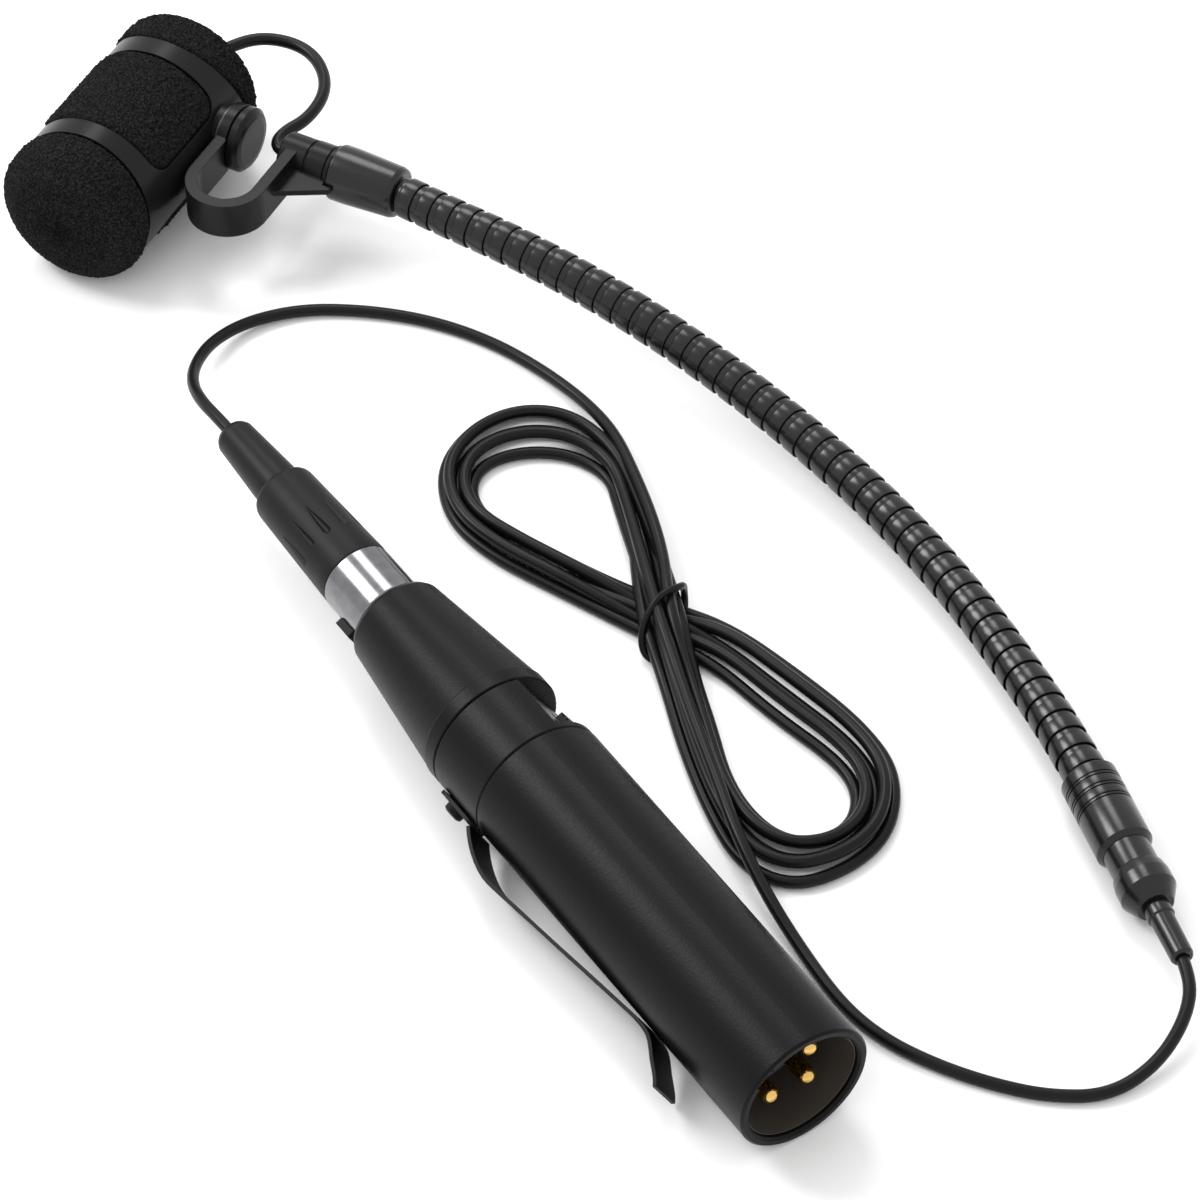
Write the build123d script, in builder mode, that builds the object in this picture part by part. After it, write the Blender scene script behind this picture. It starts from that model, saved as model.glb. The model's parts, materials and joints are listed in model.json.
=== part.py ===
from build123d import *
import math
import os

os.makedirs("parts", exist_ok=True)

# A clip-on gooseneck instrument microphone laid out flat for a table: microphone head, gooseneck,
# thin cable in a tied figure-of-eight hank, and an in-line adapter that ends in a three-pole plug.
# Millimetres, +Z up, the table at Z = 0. Plan positions are counted from the adapter's open end:
# its axis is X = 0 and points along +Y. spot() moves them to the origin, the middle of the base.

ORIGIN_X = 29.37
ORIGIN_Y = 102.703
UP = Vector(0, 0, 1)

# Adapter
ADAPTER_AXIS_Z = 9.7
SHELL_R = 9.5                 # outside of the three-pole shell, the size its mating socket takes
SHELL_BORE_R = 8.17
SHELL_STRAIGHT = 12.0         # how far back the shell stays cylindrical
BARREL_END_R = 9.65
SEAM_Y = 59.4
SLEEVE_R = 9.6
SLEEVE_BORE_R = 6.8
CAP_Y = 69.7
CAP_BAND_END_Y = 71.9
CAP_FRONT_Y = 94.5
CAP_FRONT_R = 6.9
CONTACT_R = 1.2
CONTACT_SHANK_R = 0.8
CONTACT_CIRCLE_R = 4.0
CONTACT_ANGLES = (44, -46, -136)
CONTACT_TIP_Y = 2.4
INSERT_FACE_Y = 14.0
KEY_ANGLE = 134
POCKET_ANGLE = 30             # the switch pocket looks this far above the horizontal
POCKET_FLOOR_R = 7.4
POCKET_START_Y = 60.5
SWITCH_Y = 62.6               # the slider at its rear stop; it travels 2 towards the cap

# Plug
PLUG_R = 5.3
PLUG_RIM_R = 5.85
PLUG_TIP_Y = 84.5
INLET_BORE_R = 5.4
BACKSHELL_Y = 103.8
BACKSHELL_END_Y = 123.1
BOOT_END_Y = 136.6
MINI_CONTACT_CIRCLE_R = 2.4
MINI_CONTACT_R = 0.5
LATCH_ANGLE = 208
LATCH_Y = 98.4

# Belt clip
CLIP_WIDTH = 6.3
CLIP_SHEET = 0.5
CLIP_NORMAL = Vector(-0.887, 0, -0.461)
CLIP_ACROSS = Vector(0.461, 0, -0.887)
CLIP_HINGE_Y = 60.6

# Microphone head
HEAD_AZIMUTH = 29.0
HEAD_Z = 11.3
CRADLE_R = 11.1
CRADLE_WALL = 0.7
FOAM_R = 11.3
HOUSING_R = 6.0
PIVOT_T = 22.0                # how far the pivot lies behind the cradle's front rim
LEAD_R = 0.95

# Gooseneck
LINK_COUNT = 15
RINGS_PER_LINK = 3
NECK_R = 3.05
NECK_GROOVE_R = 2.8
BALL_R = 2.55
SOCKET_R = 2.6
MOUTH = 1.3                   # the socket's mouth stands this far past the ball's centre
SHOULDER = 1.95               # the next shoulder keeps this far back, so a joint tilts 12 degrees
NECK_BORE_R = 1.15
NECK_CENTRELINE = [(45.5, 161.6, 11.2), (51.1, 148.7, 10.9), (60.0, 126.2, 9.1), (66.2, 103.2, 6.6),
                   (69.2, 80.0, 4.8), (68.7, 56.6, 3.9), (65.9, 37.6, 3.9)]

# Base of the gooseneck
BASE_TOP = (63.0, 24.5)
BASE_TAIL = (54.6, -6.2)
BASE_Z = 4.0
COLLAR_R = 3.9

# Cable
CORD_R = 0.875
HANK_HEIGHT = 5.0


def spot(x, y, z):
    """A plan position, counted from the adapter's open end, in the part's own frame."""
    return Vector(x - ORIGIN_X, y - ORIGIN_Y, z)


def turn(plane, outline, mode=Mode.ADD):
    """Turn an outline of (along, out) points about the plane's own X axis."""
    with BuildSketch(plane) as profile:
        with BuildLine():
            Polyline(*outline, close=True)
        make_face()
    revolve(profile.sketch, axis=Axis(plane.origin, plane.x_dir), mode=mode)


def drum(plane, start, end, radius, mode=Mode.ADD):
    """A plain cylinder about the plane's X axis."""
    turn(plane, [(start, 0), (end, 0), (end, radius), (start, radius)], mode)


def save(piece, name):
    """Label a finished piece and write it as its own file."""
    piece.part.label = name
    export_step(piece.part, "parts/" + name + ".step")


def corner_radii(points):
    """The largest arcs that the runs of a cable route allow."""
    radii = []
    for before, here, after in zip(points, points[1:], points[2:]):
        first = here - before
        second = after - here
        half_turn = math.radians(first.get_angle(second)) / 2
        radii.append(0.45 * min(first.length, second.length) / math.tan(half_turn))
    return radii


def tube(points, radius, name):
    """A round cable along straight runs joined by tangent arcs."""
    radii = corner_radii(points)
    with BuildPart() as cable:
        with BuildLine() as route:
            FilletPolyline(*points, radius=radii)
        line = route.wires()[0]
        with BuildSketch(Plane(origin=line @ 0, z_dir=line % 0)):
            Circle(radius)
        sweep(path=line)
    save(cable, name)
    section_volume = math.pi * radius ** 2 * line.length
    print(name, "length %.1f" % line.length, "volume ratio %.4f" % (cable.part.volume / section_volume))
    print("   radii", [round(value, 1) for value in radii])


# ------------------------------------------------------------------------------------------------
# Adapter: barrel with the three-pole shell, sleeve with the switch, rear cap
# ------------------------------------------------------------------------------------------------

adapter = Plane(origin=spot(0, 0, ADAPTER_AXIS_Z), x_dir=(0, 1, 0), z_dir=(1, 0, 0))


def across_adapter(y):
    """A plane square to the adapter's axis, its local X to +X and its local Y up."""
    return Plane(origin=spot(0, y, ADAPTER_AXIS_Z), x_dir=(1, 0, 0), z_dir=(0, -1, 0))


def beside_adapter(y, angle):
    """A plane whose normal leaves the adapter's axis at an angle; its local X is along the axis."""
    turned = math.radians(angle)
    return Plane(origin=spot(0, y, ADAPTER_AXIS_Z), x_dir=(0, 1, 0),
                 z_dir=(math.cos(turned), 0, math.sin(turned)))


TONGUE = 4.0

with BuildPart() as adapter_barrel:
    turn(adapter, [(0, SHELL_BORE_R + 0.35), (0, SHELL_R - 0.3), (0.3, SHELL_R),
                   (SHELL_STRAIGHT, SHELL_R), (SEAM_Y - 0.2, BARREL_END_R), (SEAM_Y, BARREL_END_R - 0.2),
                   (SEAM_Y, SHELL_BORE_R), (0.35, SHELL_BORE_R)])
    # Key slot for the mating connector, inside the mouth.
    with BuildSketch(across_adapter(0)):
        with PolarLocations(SHELL_BORE_R + 0.2, 1, start_angle=KEY_ANGLE):
            Rectangle(1.1, 3.2)
    extrude(amount=-6.0, mode=Mode.SUBTRACT)
    # Tapped hole for the screw that holds the insert.
    with BuildSketch(beside_adapter(INSERT_FACE_Y + 3.5, -100)):
        Circle(1.02)
    extrude(amount=SHELL_R + 1, mode=Mode.SUBTRACT)
save(adapter_barrel, "adapter_barrel")

with BuildPart() as xlr_insert:
    turn(adapter, [(INSERT_FACE_Y, 0), (INSERT_FACE_Y, 7.0), (INSERT_FACE_Y - 1.2, 7.0),
                   (INSERT_FACE_Y - 1.2, 7.6), (INSERT_FACE_Y, 7.6), (INSERT_FACE_Y, SHELL_BORE_R - 0.03),
                   (INSERT_FACE_Y + 7, SHELL_BORE_R - 0.03), (INSERT_FACE_Y + 7, 0)])
    for contact_angle in CONTACT_ANGLES:
        with BuildSketch(across_adapter(INSERT_FACE_Y - 2)):
            with PolarLocations(CONTACT_CIRCLE_R, 1, start_angle=contact_angle):
                Circle(CONTACT_SHANK_R + 0.02)
        extrude(amount=-12, mode=Mode.SUBTRACT)
    with BuildSketch(beside_adapter(INSERT_FACE_Y + 3.5, -100).offset(6.4)):
        Circle(1.02)
    extrude(amount=3, mode=Mode.SUBTRACT)
save(xlr_insert, "xlr_insert")

with BuildPart() as xlr_contacts:
    for contact_angle in CONTACT_ANGLES:
        angle = math.radians(contact_angle)
        foot = adapter.origin + Vector(math.cos(angle), 0, math.sin(angle)) * CONTACT_CIRCLE_R
        pin_plane = Plane(origin=foot, x_dir=(0, 1, 0), z_dir=(1, 0, 0))
        turn(pin_plane, [(CONTACT_TIP_Y, 0), (CONTACT_TIP_Y, 0.5), (CONTACT_TIP_Y + 0.2, 0.85),
                         (CONTACT_TIP_Y + 0.6, 1.1), (CONTACT_TIP_Y + 1.1, CONTACT_R),
                         (INSERT_FACE_Y - 0.05, CONTACT_R), (INSERT_FACE_Y - 0.05, CONTACT_SHANK_R),
                         (INSERT_FACE_Y + 8.5, CONTACT_SHANK_R), (INSERT_FACE_Y + 8.5, 0.6),
                         (INSERT_FACE_Y + 11, 0.6), (INSERT_FACE_Y + 11, 0)])
save(xlr_contacts, "xlr_contacts")

screw_plane = Plane(origin=adapter.origin + Vector(0, INSERT_FACE_Y + 3.5, 0),
                    x_dir=(math.cos(math.radians(-100)), 0, math.sin(math.radians(-100))),
                    z_dir=(0, 1, 0))
with BuildPart() as xlr_retaining_screw:
    turn(screw_plane, [(6.45, 0), (6.45, 0.7), (6.75, 1.0), (9.3, 1.0), (9.3, 0.45), (8.6, 0.45), (8.6, 0)])
save(xlr_retaining_screw, "xlr_retaining_screw")

BOARD_Z = -2.4
with BuildPart() as circuit_board:
    with BuildSketch(Plane(origin=spot(0, 0, ADAPTER_AXIS_Z + BOARD_Z))):
        with Locations((0, 41.5)):
            Rectangle(12.6, 32)
    extrude(amount=1.2)
save(circuit_board, "circuit_board")

with BuildPart() as output_transformer:
    with BuildSketch(Plane(origin=spot(0, 34, ADAPTER_AXIS_Z + BOARD_Z + 1.25))):
        RectangleRounded(9.0, 12.0, 0.8)
    extrude(amount=6.2)
    fillet(output_transformer.edges().group_by(Axis.Z)[-1], 0.5)
save(output_transformer, "output_transformer")

with BuildPart() as smoothing_capacitors:
    with BuildSketch(Plane(origin=spot(0, 47.5, ADAPTER_AXIS_Z + BOARD_Z + 1.25))):
        with GridLocations(5.4, 5.4, 2, 2):
            Circle(2.4)
    extrude(amount=4.6)
save(smoothing_capacitors, "smoothing_capacitors")

with BuildPart() as adapter_sleeve:
    turn(adapter, [(SEAM_Y - TONGUE, SLEEVE_BORE_R), (SEAM_Y - TONGUE, SHELL_BORE_R - 0.03),
                   (SEAM_Y + 0.05, SHELL_BORE_R - 0.03), (SEAM_Y + 0.05, SLEEVE_R - 0.2),
                   (SEAM_Y + 0.25, SLEEVE_R), (CAP_Y - 0.25, SLEEVE_R), (CAP_Y - 0.05, SLEEVE_R - 0.2),
                   (CAP_Y - 0.05, SLEEVE_BORE_R)])
    # Flat-floored pocket for the switch, open towards the cap and rounded at its blind end.
    with BuildSketch(beside_adapter((POCKET_START_Y + CAP_Y + 2) / 2, POCKET_ANGLE).offset(POCKET_FLOOR_R)):
        RectangleRounded(CAP_Y + 2 - POCKET_START_Y, 13.4, 1.2)
    extrude(amount=4, mode=Mode.SUBTRACT)
    # Slot that the slider's stem runs in.
    with BuildSketch(beside_adapter(SWITCH_Y + 1.2, POCKET_ANGLE).offset(6)):
        SlotOverall(4.6, 1.3)
    extrude(amount=3, mode=Mode.SUBTRACT)
    # Tapped hole for the clip's screw.
    with BuildSketch(Plane(origin=spot(0, 65.2, ADAPTER_AXIS_Z), x_dir=(0, 1, 0), z_dir=CLIP_NORMAL).offset(6)):
        Circle(0.82)
    extrude(amount=5, mode=Mode.SUBTRACT)
save(adapter_sleeve, "adapter_sleeve")

with BuildPart() as bass_switch_body:
    with BuildSketch(beside_adapter(SWITCH_Y + 0.6, POCKET_ANGLE).offset(3.2)):
        Rectangle(6.4, 3.6)
    extrude(amount=2.4)
save(bass_switch_body, "bass_switch_body")

with BuildPart() as bass_switch_slider:
    with BuildSketch(beside_adapter(SWITCH_Y, POCKET_ANGLE).offset(POCKET_FLOOR_R + 0.1)):
        RectangleRounded(3.0, 3.6, 0.3)
    extrude(amount=1.1)
    # Grip ribs across the slide.
    with BuildSketch(beside_adapter(SWITCH_Y, POCKET_ANGLE).offset(POCKET_FLOOR_R + 0.95)):
        with GridLocations(0.8, 0, 3, 1):
            Rectangle(0.35, 4.0)
    extrude(amount=0.4, mode=Mode.SUBTRACT)
    with BuildSketch(beside_adapter(SWITCH_Y, POCKET_ANGLE).offset(5.75)):
        Circle(0.55)
    extrude(amount=POCKET_FLOOR_R + 0.2 - 5.75)
save(bass_switch_slider, "bass_switch_slider")

with BuildPart() as adapter_rear_cap:
    turn(adapter, [(CAP_Y - 3, SLEEVE_BORE_R - 0.05), (CAP_Y + 0.05, SLEEVE_BORE_R - 0.05),
                   (CAP_Y + 0.05, SLEEVE_R - 0.2), (CAP_Y + 0.2, SLEEVE_R), (CAP_BAND_END_Y, SLEEVE_R),
                   (CAP_BAND_END_Y + 0.15, SLEEVE_R - 0.12), (CAP_FRONT_Y - 1.0, CAP_FRONT_R + 0.1),
                   (CAP_FRONT_Y - 0.35, CAP_FRONT_R - 0.25), (CAP_FRONT_Y, CAP_FRONT_R - 0.8),
                   (CAP_FRONT_Y, INLET_BORE_R + 0.2), (CAP_FRONT_Y - 0.2, INLET_BORE_R),
                   (78, INLET_BORE_R), (78, 4.6), (76.5, 4.6), (CAP_Y - 3, 6.0)])
save(adapter_rear_cap, "adapter_rear_cap")

with BuildPart() as inlet_insert:
    drum(adapter, 78.05, 83.5, INLET_BORE_R - 0.02)
    with BuildSketch(across_adapter(77)):
        with PolarLocations(MINI_CONTACT_CIRCLE_R, 3, start_angle=90):
            Circle(MINI_CONTACT_R + 0.02)
    extrude(amount=-8, mode=Mode.SUBTRACT)
save(inlet_insert, "inlet_insert")

with BuildPart() as inlet_pins:
    with BuildSketch(across_adapter(74)):
        with PolarLocations(MINI_CONTACT_CIRCLE_R, 3, start_angle=90):
            Circle(MINI_CONTACT_R)
    extrude(amount=-17)
save(inlet_pins, "inlet_pins")

# ------------------------------------------------------------------------------------------------
# Belt clip: a foot under its screw, and the bowed blade, which springs about the bend between them
# ------------------------------------------------------------------------------------------------

CLIP_OUTLINE = [(60.1, 10.25), (58.9, 11.0), (55.3, 12.5), (52.6, 13.0), (48.9, 12.75), (40.8, 11.9),
                (31.6, 10.9), (24.4, 10.15), (21.1, 9.93), (18.9, 10.2), (16.1, 11.7), (13.7, 13.0),
                (12.8, 13.7)]
clip_side = Plane(origin=adapter.origin, x_dir=(0, 1, 0), z_dir=CLIP_ACROSS)
# The side plane's local Y has to point away from the barrel.
clip_out = 1 if clip_side.y_dir.dot(CLIP_NORMAL) > 0 else -1

with BuildPart() as clip_blade:
    with BuildSketch(clip_side):
        with BuildLine() as clip_line:
            Spline(*[(along, clip_out * out) for along, out in CLIP_OUTLINE])
        trace(line_width=CLIP_SHEET)
    extrude(amount=CLIP_WIDTH / 2, both=True)
save(clip_blade, "clip_blade")

with BuildPart() as clip_foot:
    with BuildSketch(Plane(origin=adapter.origin, x_dir=(0, 1, 0), z_dir=CLIP_NORMAL).offset(SLEEVE_R + 0.05)):
        with Locations((64.15, 0)):
            RectangleRounded(7.7, 4.5, 1.2)
    extrude(amount=CLIP_SHEET)
    with BuildSketch(Plane(origin=adapter.origin, x_dir=(0, 1, 0), z_dir=CLIP_NORMAL).offset(SLEEVE_R)):
        with Locations((65.2, 0)):
            Circle(0.9)
    extrude(amount=1, mode=Mode.SUBTRACT)
save(clip_foot, "clip_foot")

clip_screw_plane = Plane(origin=adapter.origin + Vector(0, 65.2, 0), x_dir=CLIP_NORMAL, z_dir=(0, 1, 0))
with BuildPart() as clip_screw:
    turn(clip_screw_plane, [(7.4, 0), (7.4, 0.8), (SLEEVE_R + 0.57, 0.8), (SLEEVE_R + 0.57, 1.5),
                            (11.0, 1.4), (11.2, 1.0), (11.2, 0)])
    with BuildSketch(Plane(origin=clip_screw_plane.origin, x_dir=(0, 1, 0), z_dir=CLIP_NORMAL).offset(10.7)):
        Rectangle(1.9, 0.4)
        Rectangle(0.4, 1.9)
    extrude(amount=1, mode=Mode.SUBTRACT)
save(clip_screw, "clip_screw")

# ------------------------------------------------------------------------------------------------
# Cable plug
# ------------------------------------------------------------------------------------------------

with BuildPart() as plug_shell:
    turn(adapter, [(PLUG_TIP_Y, PLUG_R - 0.2), (PLUG_TIP_Y + 0.2, PLUG_R), (CAP_FRONT_Y + 0.15, PLUG_R),
                   (CAP_FRONT_Y + 0.15, PLUG_RIM_R - 0.1), (CAP_FRONT_Y + 0.3, PLUG_RIM_R),
                   (CAP_FRONT_Y + 0.5, PLUG_RIM_R - 0.1), (CAP_FRONT_Y + 0.6, PLUG_R), (BACKSHELL_Y, PLUG_R),
                   (BACKSHELL_Y, 4.4), (BACKSHELL_Y + 3, 4.4), (BACKSHELL_Y + 3, 3.9), (BACKSHELL_Y - 2, 3.9),
                   (BACKSHELL_Y - 2, 4.7), (PLUG_TIP_Y, 4.7)])
    # Window that the latch button works through.
    with BuildSketch(beside_adapter(LATCH_Y, LATCH_ANGLE).offset(3.0)):
        RectangleRounded(3.7, 2.5, 0.4)
    extrude(amount=4, mode=Mode.SUBTRACT)
save(plug_shell, "plug_shell")

with BuildPart() as plug_insert:
    drum(adapter, 85.0, 95.0, 4.68)
    with BuildSketch(across_adapter(84)):
        with PolarLocations(MINI_CONTACT_CIRCLE_R, 3, start_angle=90):
            Circle(0.87)
    extrude(amount=-14, mode=Mode.SUBTRACT)
save(plug_insert, "plug_insert")

with BuildPart() as plug_sockets:
    with BuildSketch(across_adapter(85.5)):
        with PolarLocations(MINI_CONTACT_CIRCLE_R, 3, start_angle=90):
            Circle(0.85)
            Circle(MINI_CONTACT_R + 0.04, mode=Mode.SUBTRACT)
    extrude(amount=-10.8)
save(plug_sockets, "plug_sockets")

with BuildPart() as plug_latch_button:
    with BuildSketch(beside_adapter(LATCH_Y, LATCH_ANGLE).offset(3.6)):
        RectangleRounded(3.4, 2.2, 0.35)
    extrude(amount=2.6)
save(plug_latch_button, "plug_latch_button")

with BuildPart() as plug_latch_spring:
    with BuildSketch(beside_adapter(LATCH_Y, LATCH_ANGLE).offset(1.6)):
        Circle(0.7)
        Circle(0.45, mode=Mode.SUBTRACT)
    extrude(amount=1.9)
save(plug_latch_spring, "plug_latch_spring")

FLUTE_COUNT = 10
with BuildPart() as plug_backshell:
    turn(adapter, [(BACKSHELL_Y + 0.05, 4.45), (BACKSHELL_Y + 0.05, 5.0), (BACKSHELL_Y + 0.3, 5.25),
                   (BACKSHELL_END_Y - 0.7, 4.55), (BACKSHELL_END_Y - 0.2, 4.35), (BACKSHELL_END_Y, 4.0),
                   (BACKSHELL_END_Y, 2.9), (BACKSHELL_END_Y - 1.2, 2.9), (BACKSHELL_END_Y - 1.2, 3.75),
                   (BACKSHELL_Y + 4, 3.75), (BACKSHELL_Y + 4, 4.45)])
    # Teardrop flutes round the front half, rounded in front and pointed behind.
    for flute in range(FLUTE_COUNT):
        flute_angle = 360 / FLUTE_COUNT * flute
        with BuildSketch(beside_adapter(BACKSHELL_Y, flute_angle).offset(4.75)) as teardrop:
            with BuildLine():
                nose = CenterArc((1.9, 0), 0.75, 90, 180)
                Line(nose @ 0, (6.9, 0))
                Line((6.9, 0), nose @ 1)
            make_face()
        extrude(teardrop.sketch, amount=1, mode=Mode.SUBTRACT)
save(plug_backshell, "plug_backshell")

with BuildPart() as plug_cord_chuck:
    turn(adapter, [(BACKSHELL_Y + 7.5, CORD_R + 0.02), (BACKSHELL_Y + 7.5, 3.2), (BACKSHELL_Y + 9, 3.7),
                   (BACKSHELL_END_Y - 4, 3.7), (BACKSHELL_END_Y - 4, CORD_R + 0.02)])
    with BuildSketch(across_adapter(BACKSHELL_Y)):
        Rectangle(9, 0.6)
    extrude(amount=-14, mode=Mode.SUBTRACT)
save(plug_cord_chuck, "plug_cord_chuck")

with BuildPart() as plug_boot:
    turn(adapter, [(BACKSHELL_END_Y - 3.5, CORD_R + 0.04), (BACKSHELL_END_Y - 3.5, 3.7), (BACKSHELL_END_Y - 1.25, 3.7),
                   (BACKSHELL_END_Y - 1.25, 2.87), (BACKSHELL_END_Y + 0.1, 2.87), (BACKSHELL_END_Y + 0.1, 3.4),
                   (BACKSHELL_END_Y + 2.2, 3.4), (BOOT_END_Y - 0.9, 2.8), (BOOT_END_Y - 0.25, 2.5),
                   (BOOT_END_Y, 1.9), (BOOT_END_Y, CORD_R + 0.04)])
save(plug_boot, "plug_boot")

# ------------------------------------------------------------------------------------------------
# Microphone head
# ------------------------------------------------------------------------------------------------

head_turn = math.radians(HEAD_AZIMUTH)
REAR = Vector(math.cos(head_turn), math.sin(head_turn), 0)
SIDE = Vector(math.sin(head_turn), -math.cos(head_turn), 0)
FRONT_CENTRE = spot(6.0, 188.1, HEAD_Z)
head = Plane(origin=FRONT_CENTRE, x_dir=REAR, z_dir=SIDE)
pivot_centre = FRONT_CENTRE + REAR * PIVOT_T
pivot = Plane(origin=pivot_centre, x_dir=SIDE, z_dir=UP)


def head_spot(t, b, lift=0.0):
    """A point t behind the cradle's front rim, b beside the head's axis."""
    return FRONT_CENTRE + REAR * t + SIDE * b + UP * lift


def across_head(t):
    """A plane square to the head's axis, its local X sideways and its local Y up."""
    return Plane(origin=head_spot(t, 0), x_dir=SIDE, z_dir=SIDE.cross(UP))


BAR_ANGLES = (0, 180)
with BuildPart() as head_cradle:
    turn(head, [(-2, CRADLE_R - CRADLE_WALL), (-2, CRADLE_R), (29, CRADLE_R), (29, CRADLE_R - CRADLE_WALL)])
    # Both rims run a little obliquely: the front one leans back towards the top, the rear one forward.
    with BuildSketch(head):
        with BuildLine():
            Polyline((-5, -14), (-2.6, -12), (0.0, 0), (1.6, 12), (-5, 14), close=True)
        make_face()
        with BuildLine():
            Polyline((32, -14), (29.2, -12), (27.4, 0), (24.4, 12), (32, 14), close=True)
        make_face()
    extrude(amount=15, both=True, mode=Mode.SUBTRACT)
    # Windows above and below leave a bar on each side.
    with BuildSketch(head):
        with Locations((13.0, 14.5), (13.0, -14.5)):
            RectangleRounded(16.8, 20, 3)
    extrude(amount=15, both=True, mode=Mode.SUBTRACT)
    # Pad that carries the pivot.
    drum(pivot, CRADLE_R - 1.0, CRADLE_R + 0.2, 4.4)
    drum(pivot, CRADLE_R - 2.0, CRADLE_R + 2, 1.5, Mode.SUBTRACT)
save(head_cradle, "head_cradle")

FOAM_INNER_R = CRADLE_R - CRADLE_WALL - 0.15
with BuildPart() as windscreen_foam:
    with BuildSketch(head):
        with BuildLine():
            Spline((-7.6, 0), (-7.1, 4.6), (-5.6, 8.6), (-2.9, FOAM_R), tangents=((0, 1), (1, 0.5)))
            Polyline((-2.9, FOAM_R), (-2.75, FOAM_INNER_R), (29.3, FOAM_INNER_R), (29.4, FOAM_R - 0.5))
            Spline((29.4, FOAM_R - 0.5), (31.6, 9.4), (33.0, 6.0), (33.3, 1.2),
                   tangents=((1, -0.25), (0, -1)))
            Polyline((33.3, 1.2), (28.0, 1.2), (28.0, HOUSING_R + 0.05), (0.4, HOUSING_R + 0.05), (0.4, 0),
                     (-7.6, 0))
        make_face()
    revolve(axis=Axis(head.origin, head.x_dir))
    drum(pivot, CRADLE_R - 3.2, CRADLE_R + 1, 4.6, Mode.SUBTRACT)
save(windscreen_foam, "windscreen_foam")

with BuildPart() as capsule_housing:
    turn(head, [(1.6, HOUSING_R - 0.7), (1.6, HOUSING_R - 0.15), (1.8, HOUSING_R), (25, HOUSING_R),
                (25, HOUSING_R - 0.7)])
save(capsule_housing, "capsule_housing")

with BuildPart() as capsule_grille:
    turn(head, [(0.6, 0), (0.6, HOUSING_R - 0.3), (0.9, HOUSING_R), (1.55, HOUSING_R), (1.55, 5.25), (3.0, 5.25),
                (3.0, 4.8), (1.2, 4.8), (1.2, 0)])
    with BuildSketch(across_head(-1)) as sound_holes:
        with PolarLocations(3.4, 8):
            Circle(0.7)
        with PolarLocations(1.5, 4):
            Circle(0.55)
    extrude(sound_holes.sketch, amount=4, both=True, mode=Mode.SUBTRACT)
save(capsule_grille, "capsule_grille")

with BuildPart() as capsule_element:
    turn(head, [(3.05, 0), (3.05, 4.6), (3.3, 5.2), (8.5, 5.2), (8.5, 4.4), (9.2, 4.4), (9.2, 0)])
save(capsule_element, "capsule_element")

with BuildPart() as housing_end_cap:
    turn(head, [(22, 4.6), (22, 5.25), (25.05, 5.25), (25.05, HOUSING_R), (26.4, HOUSING_R), (27.6, 3.4),
                (27.6, LEAD_R + 0.02), (24, LEAD_R + 0.02), (24, 4.6)])
save(housing_end_cap, "housing_end_cap")

# ------------------------------------------------------------------------------------------------
# Pivot and hook arm
# ------------------------------------------------------------------------------------------------

EYE_INNER = CRADLE_R + 0.65
EYE_OUTER = EYE_INNER + 1.5
with BuildPart() as pivot_washer:
    turn(pivot, [(CRADLE_R + 0.22, 1.52), (CRADLE_R + 0.22, 4.5), (EYE_INNER - 0.08, 4.5), (EYE_INNER - 0.08, 1.52)])
save(pivot_washer, "pivot_washer")

with BuildPart() as pivot_pin:
    drum(pivot, CRADLE_R - 2.6, CRADLE_R + 3.6, 1.47)
    drum(pivot, CRADLE_R - 3.1, CRADLE_R - 1.05, 2.4)
save(pivot_pin, "pivot_pin")

with BuildPart() as pivot_button:
    turn(pivot, [(EYE_OUTER + 0.1, 0), (EYE_OUTER + 0.1, 4.6), (EYE_OUTER + 0.4, 4.9), (EYE_OUTER + 1.4, 4.9),
                 (EYE_OUTER + 1.95, 4.3), (EYE_OUTER + 2.1, 3.4), (EYE_OUTER + 2.1, 0)])
    drum(pivot, CRADLE_R, CRADLE_R + 3.6, 1.48, Mode.SUBTRACT)
save(pivot_button, "pivot_button")

ARM_THICK = 1.8
ARM_HEIGHT = 5.8
LEG_NEAR_B = EYE_INNER + ARM_THICK / 2
LEG_FAR_B = 23.0
BEND_T = 10.6
TUBE_START_B = 21.0
TUBE_END_B = 29.5
TUBE_R = 3.4
tube_axis = Plane(origin=head_spot(PIVOT_T, 0), x_dir=SIDE, z_dir=UP)
plan_head = Plane(origin=FRONT_CENTRE, x_dir=REAR, z_dir=-UP)

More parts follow.
